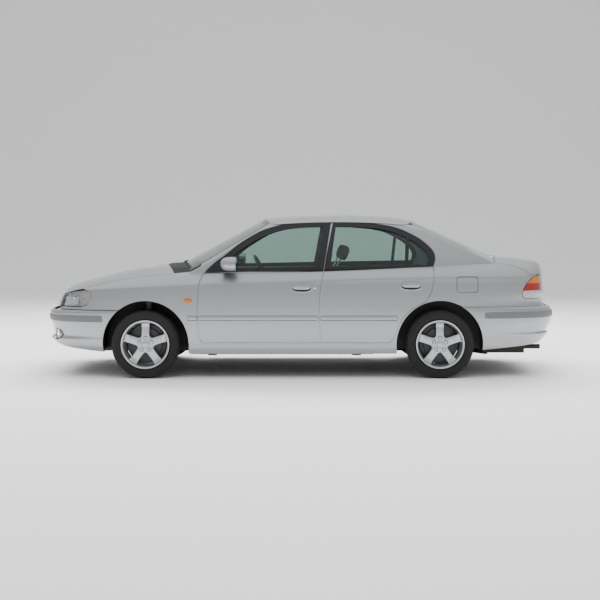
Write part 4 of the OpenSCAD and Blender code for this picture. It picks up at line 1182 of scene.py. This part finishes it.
for k, (v0, v1) in enumerate(((-560, 30), (-20, 560))):
    v = np.linspace(v0, v1, 30)
    z = 1012 + 14 * np.linspace(0, 1, 30) - 50 * (np.abs(v) / 672) ** 3
    blade = np.stack([on_screen(v, z, -6), v, z], 1)
    dress(
        surface(f"wiper blade {k}", swept(blade, [0, 0, 1], 5, 7, 2.5, 16), around=True, capped=True),
        rubber, "body"
    )
    arm = np.stack([on_screen(v[12:], z[12:], -13), v[12:], z[12:] - 6], 1)
    dress(
        surface(f"wiper arm {k}", swept(arm, [0, 0, 1], 7, 4, 3, 16), around=True, capped=True),
        trim_black, "body"
    )

# ---- Seats
# Each cushion starts as a rounded block a little smaller than the CAD seat, is blown up by a cloth
# simulation and kept soft: fuller in the middle, drawn in along its edges.


def cushion(name, centre, half, lean, swell):
    """Block |x/a|^6 + |y/b|^6 + |z/c|^6 = 1, leaned back about Y, puffed out by at most swell mm."""
    q, s = np.linspace(
        0, 2 * np.pi, 60, endpoint=False
    )[None, :], np.linspace(-np.pi / 2, np.pi / 2, 33)[:, None]
    root = 1 / 3
    c = np.abs(np.cos(s)) ** root
    x = half[0] * c * cos_to(q, root)
    y = half[1] * c * sin_to(q, root)
    z = half[2] * sin_to(s, root) + 0 * q
    a = math.radians(lean)
    grid = np.stack([x * math.cos(a) + z * math.sin(a), y, z * math.cos(a) - x * math.sin(a)], 2) + centre
    piece = surface(name, grid, around=True)
    mesh_step = piece.modifiers.new("even", "REMESH")
    mesh_step.mode, mesh_step.voxel_size = "VOXEL", 0.013
    even = bpy.data.meshes.new_from_object(piece.evaluated_get(bpy.context.evaluated_depsgraph_get()))
    piece.modifiers.clear()
    piece.data = even
    start = np.empty(len(even.vertices) * 3, np.float32)
    even.vertices.foreach_get("co", start)
    puff = piece.modifiers.new("puff", "CLOTH")
    puff.settings.use_pressure, puff.settings.uniform_pressure_force = True, 4.0
    puff.settings.effector_weights.gravity = 0
    puff.settings.quality = 4
    puff.point_cache.frame_end = 20
    for frame_now in range(1, 21):
        bpy.context.scene.frame_set(frame_now)
    puffed = bpy.data.meshes.new_from_object(piece.evaluated_get(bpy.context.evaluated_depsgraph_get()))
    end = np.empty_like(start)
    puffed.vertices.foreach_get("co", end)
    piece.modifiers.clear()
    bpy.context.scene.frame_set(1)
    move = (end - start).reshape(-1, 3)
    size = np.linalg.norm(move, axis=1)[:, None]
    move *= np.minimum(1, swell / 1000 / np.maximum(size, 1e-9))
    even.vertices.foreach_set("co", (start.reshape(-1, 3) + move).ravel())
    bpy.data.meshes.remove(puffed)
    even.update()
    dress(piece, cloth, "body")
    for face in even.polygons:
        face.use_smooth = True
    return piece


for side, hand in ((-350, "left"), (350, "right")):
    seat = cushion(f"front seat cushion {hand}", [-85, side, 415], [235, 222, 62], -4, 18)
    if hand == "left":
        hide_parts("front_seats")
    cushion(f"front seat back {hand}", [262, side, 712], [48, 218, 275], 20, 18)
    cushion(f"front headrest {hand}", [402, side, 1106], [34, 122, 66], 20, 10)
    for v in (-60, 60):
        post = [[330 + 20 * k, side + v, 960 + 55 * k] for k in range(3)]
        dress(
            surface(
                f"headrest post {hand} {v + 60}", swept(post, [0, 1, 0], 6, 6, 2, 16), around=True,
                capped=True
            ),
            chrome, "body"
        )
    rail_path = [[-290 + 400 * k / 7, side, 290] for k in range(8)]
    riser = surface(
        f"seat riser {hand}",
        swept(
            rail_path, [0, 1, 0], [150, 168, 176, 180, 180, 176, 168, 150],
            [34, 40, 42, 43, 43, 42, 40, 34], 6, 40
        ),
        around=True, capped=True
    )
    dress(riser, trim_black, "body")
bench = cushion("rear seat cushion", [935, 0, 495], [205, 530, 52], -4, 18)
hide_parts("rear_seat")
cushion("rear seat back", [1258, 0, 712], [48, 525, 205], 24, 18)
# ---- Floor, light and camera
# The car stands on a pale floor under a wide soft light, seen square from its left.
sweep = np.linspace(0, np.pi / 2, 17)[1:]
floor_y = np.concatenate([[-16000, 10000], 10000 + 5000 * np.sin(sweep), [15000]])
floor_z = np.concatenate([[0, 0], 5000 * (1 - np.cos(sweep)), [14000]])
floor_grid = np.stack([np.stack(
    [np.full(floor_y.shape, x), floor_y, floor_z], 1
) for x in (-30000.0, 30000.0)])
floor = surface("floor", floor_grid)
floor.data.polygons.foreach_set("use_smooth", np.ones(len(floor.data.polygons), bool))
floor.data.materials.append(finish("pale matt floor", "#f1f1f0", 0.9, 0.0, 20.0, 0.02))
world = bpy.data.worlds.new("studio")
bpy.context.scene.world = world
world.use_nodes = True
sky = world.node_tree.nodes["Background"]
spot = world.node_tree.nodes.new("ShaderNodeTexCoord")
parts = world.node_tree.nodes.new("ShaderNodeSeparateXYZ")
world.node_tree.links.new(spot.outputs["Generated"], parts.inputs["Vector"])
glow = world.node_tree.nodes.new("ShaderNodeMapRange")
for key, value in (("From Min", -0.1), ("From Max", 0.9), ("To Min", 0.34), ("To Max", 1.25)):
    glow.inputs[key].default_value = value
world.node_tree.links.new(parts.outputs["Z"], glow.inputs["Value"])
world.node_tree.links.new(glow.outputs["Result"], sky.inputs["Strength"])
sky.inputs["Color"].default_value = srgb("#f3f5f7")
for name, place, turn, size, power in (
    ("overhead softbox", (0, -1, 7), (0, 0, 0), (12, 8), 560),
    ("backdrop softbox", (0, 5, 7.5), (-0.9, 0, 0), (16, 3), 2100),
):
    lamp = bpy.data.lights.new(name, "AREA")
    lamp.shape, lamp.size, lamp.size_y, lamp.energy = "RECTANGLE", size[0], size[1], power
    light = bpy.data.objects.new(name, lamp)
    light.location, light.rotation_euler = place, turn
    light.visible_glossy = False
    bpy.context.scene.collection.objects.link(light)
camera = bpy.data.objects.new("camera", bpy.data.cameras.new("camera"))
bpy.context.scene.collection.objects.link(camera)
camera.location = (-0.01, -10, 1.31)
camera.rotation_euler = (math.pi / 2, 0, 0)
camera.data.lens = 62
camera.data.sensor_width = 36
camera.data.shift_y = -0.115
bpy.context.scene.camera = camera
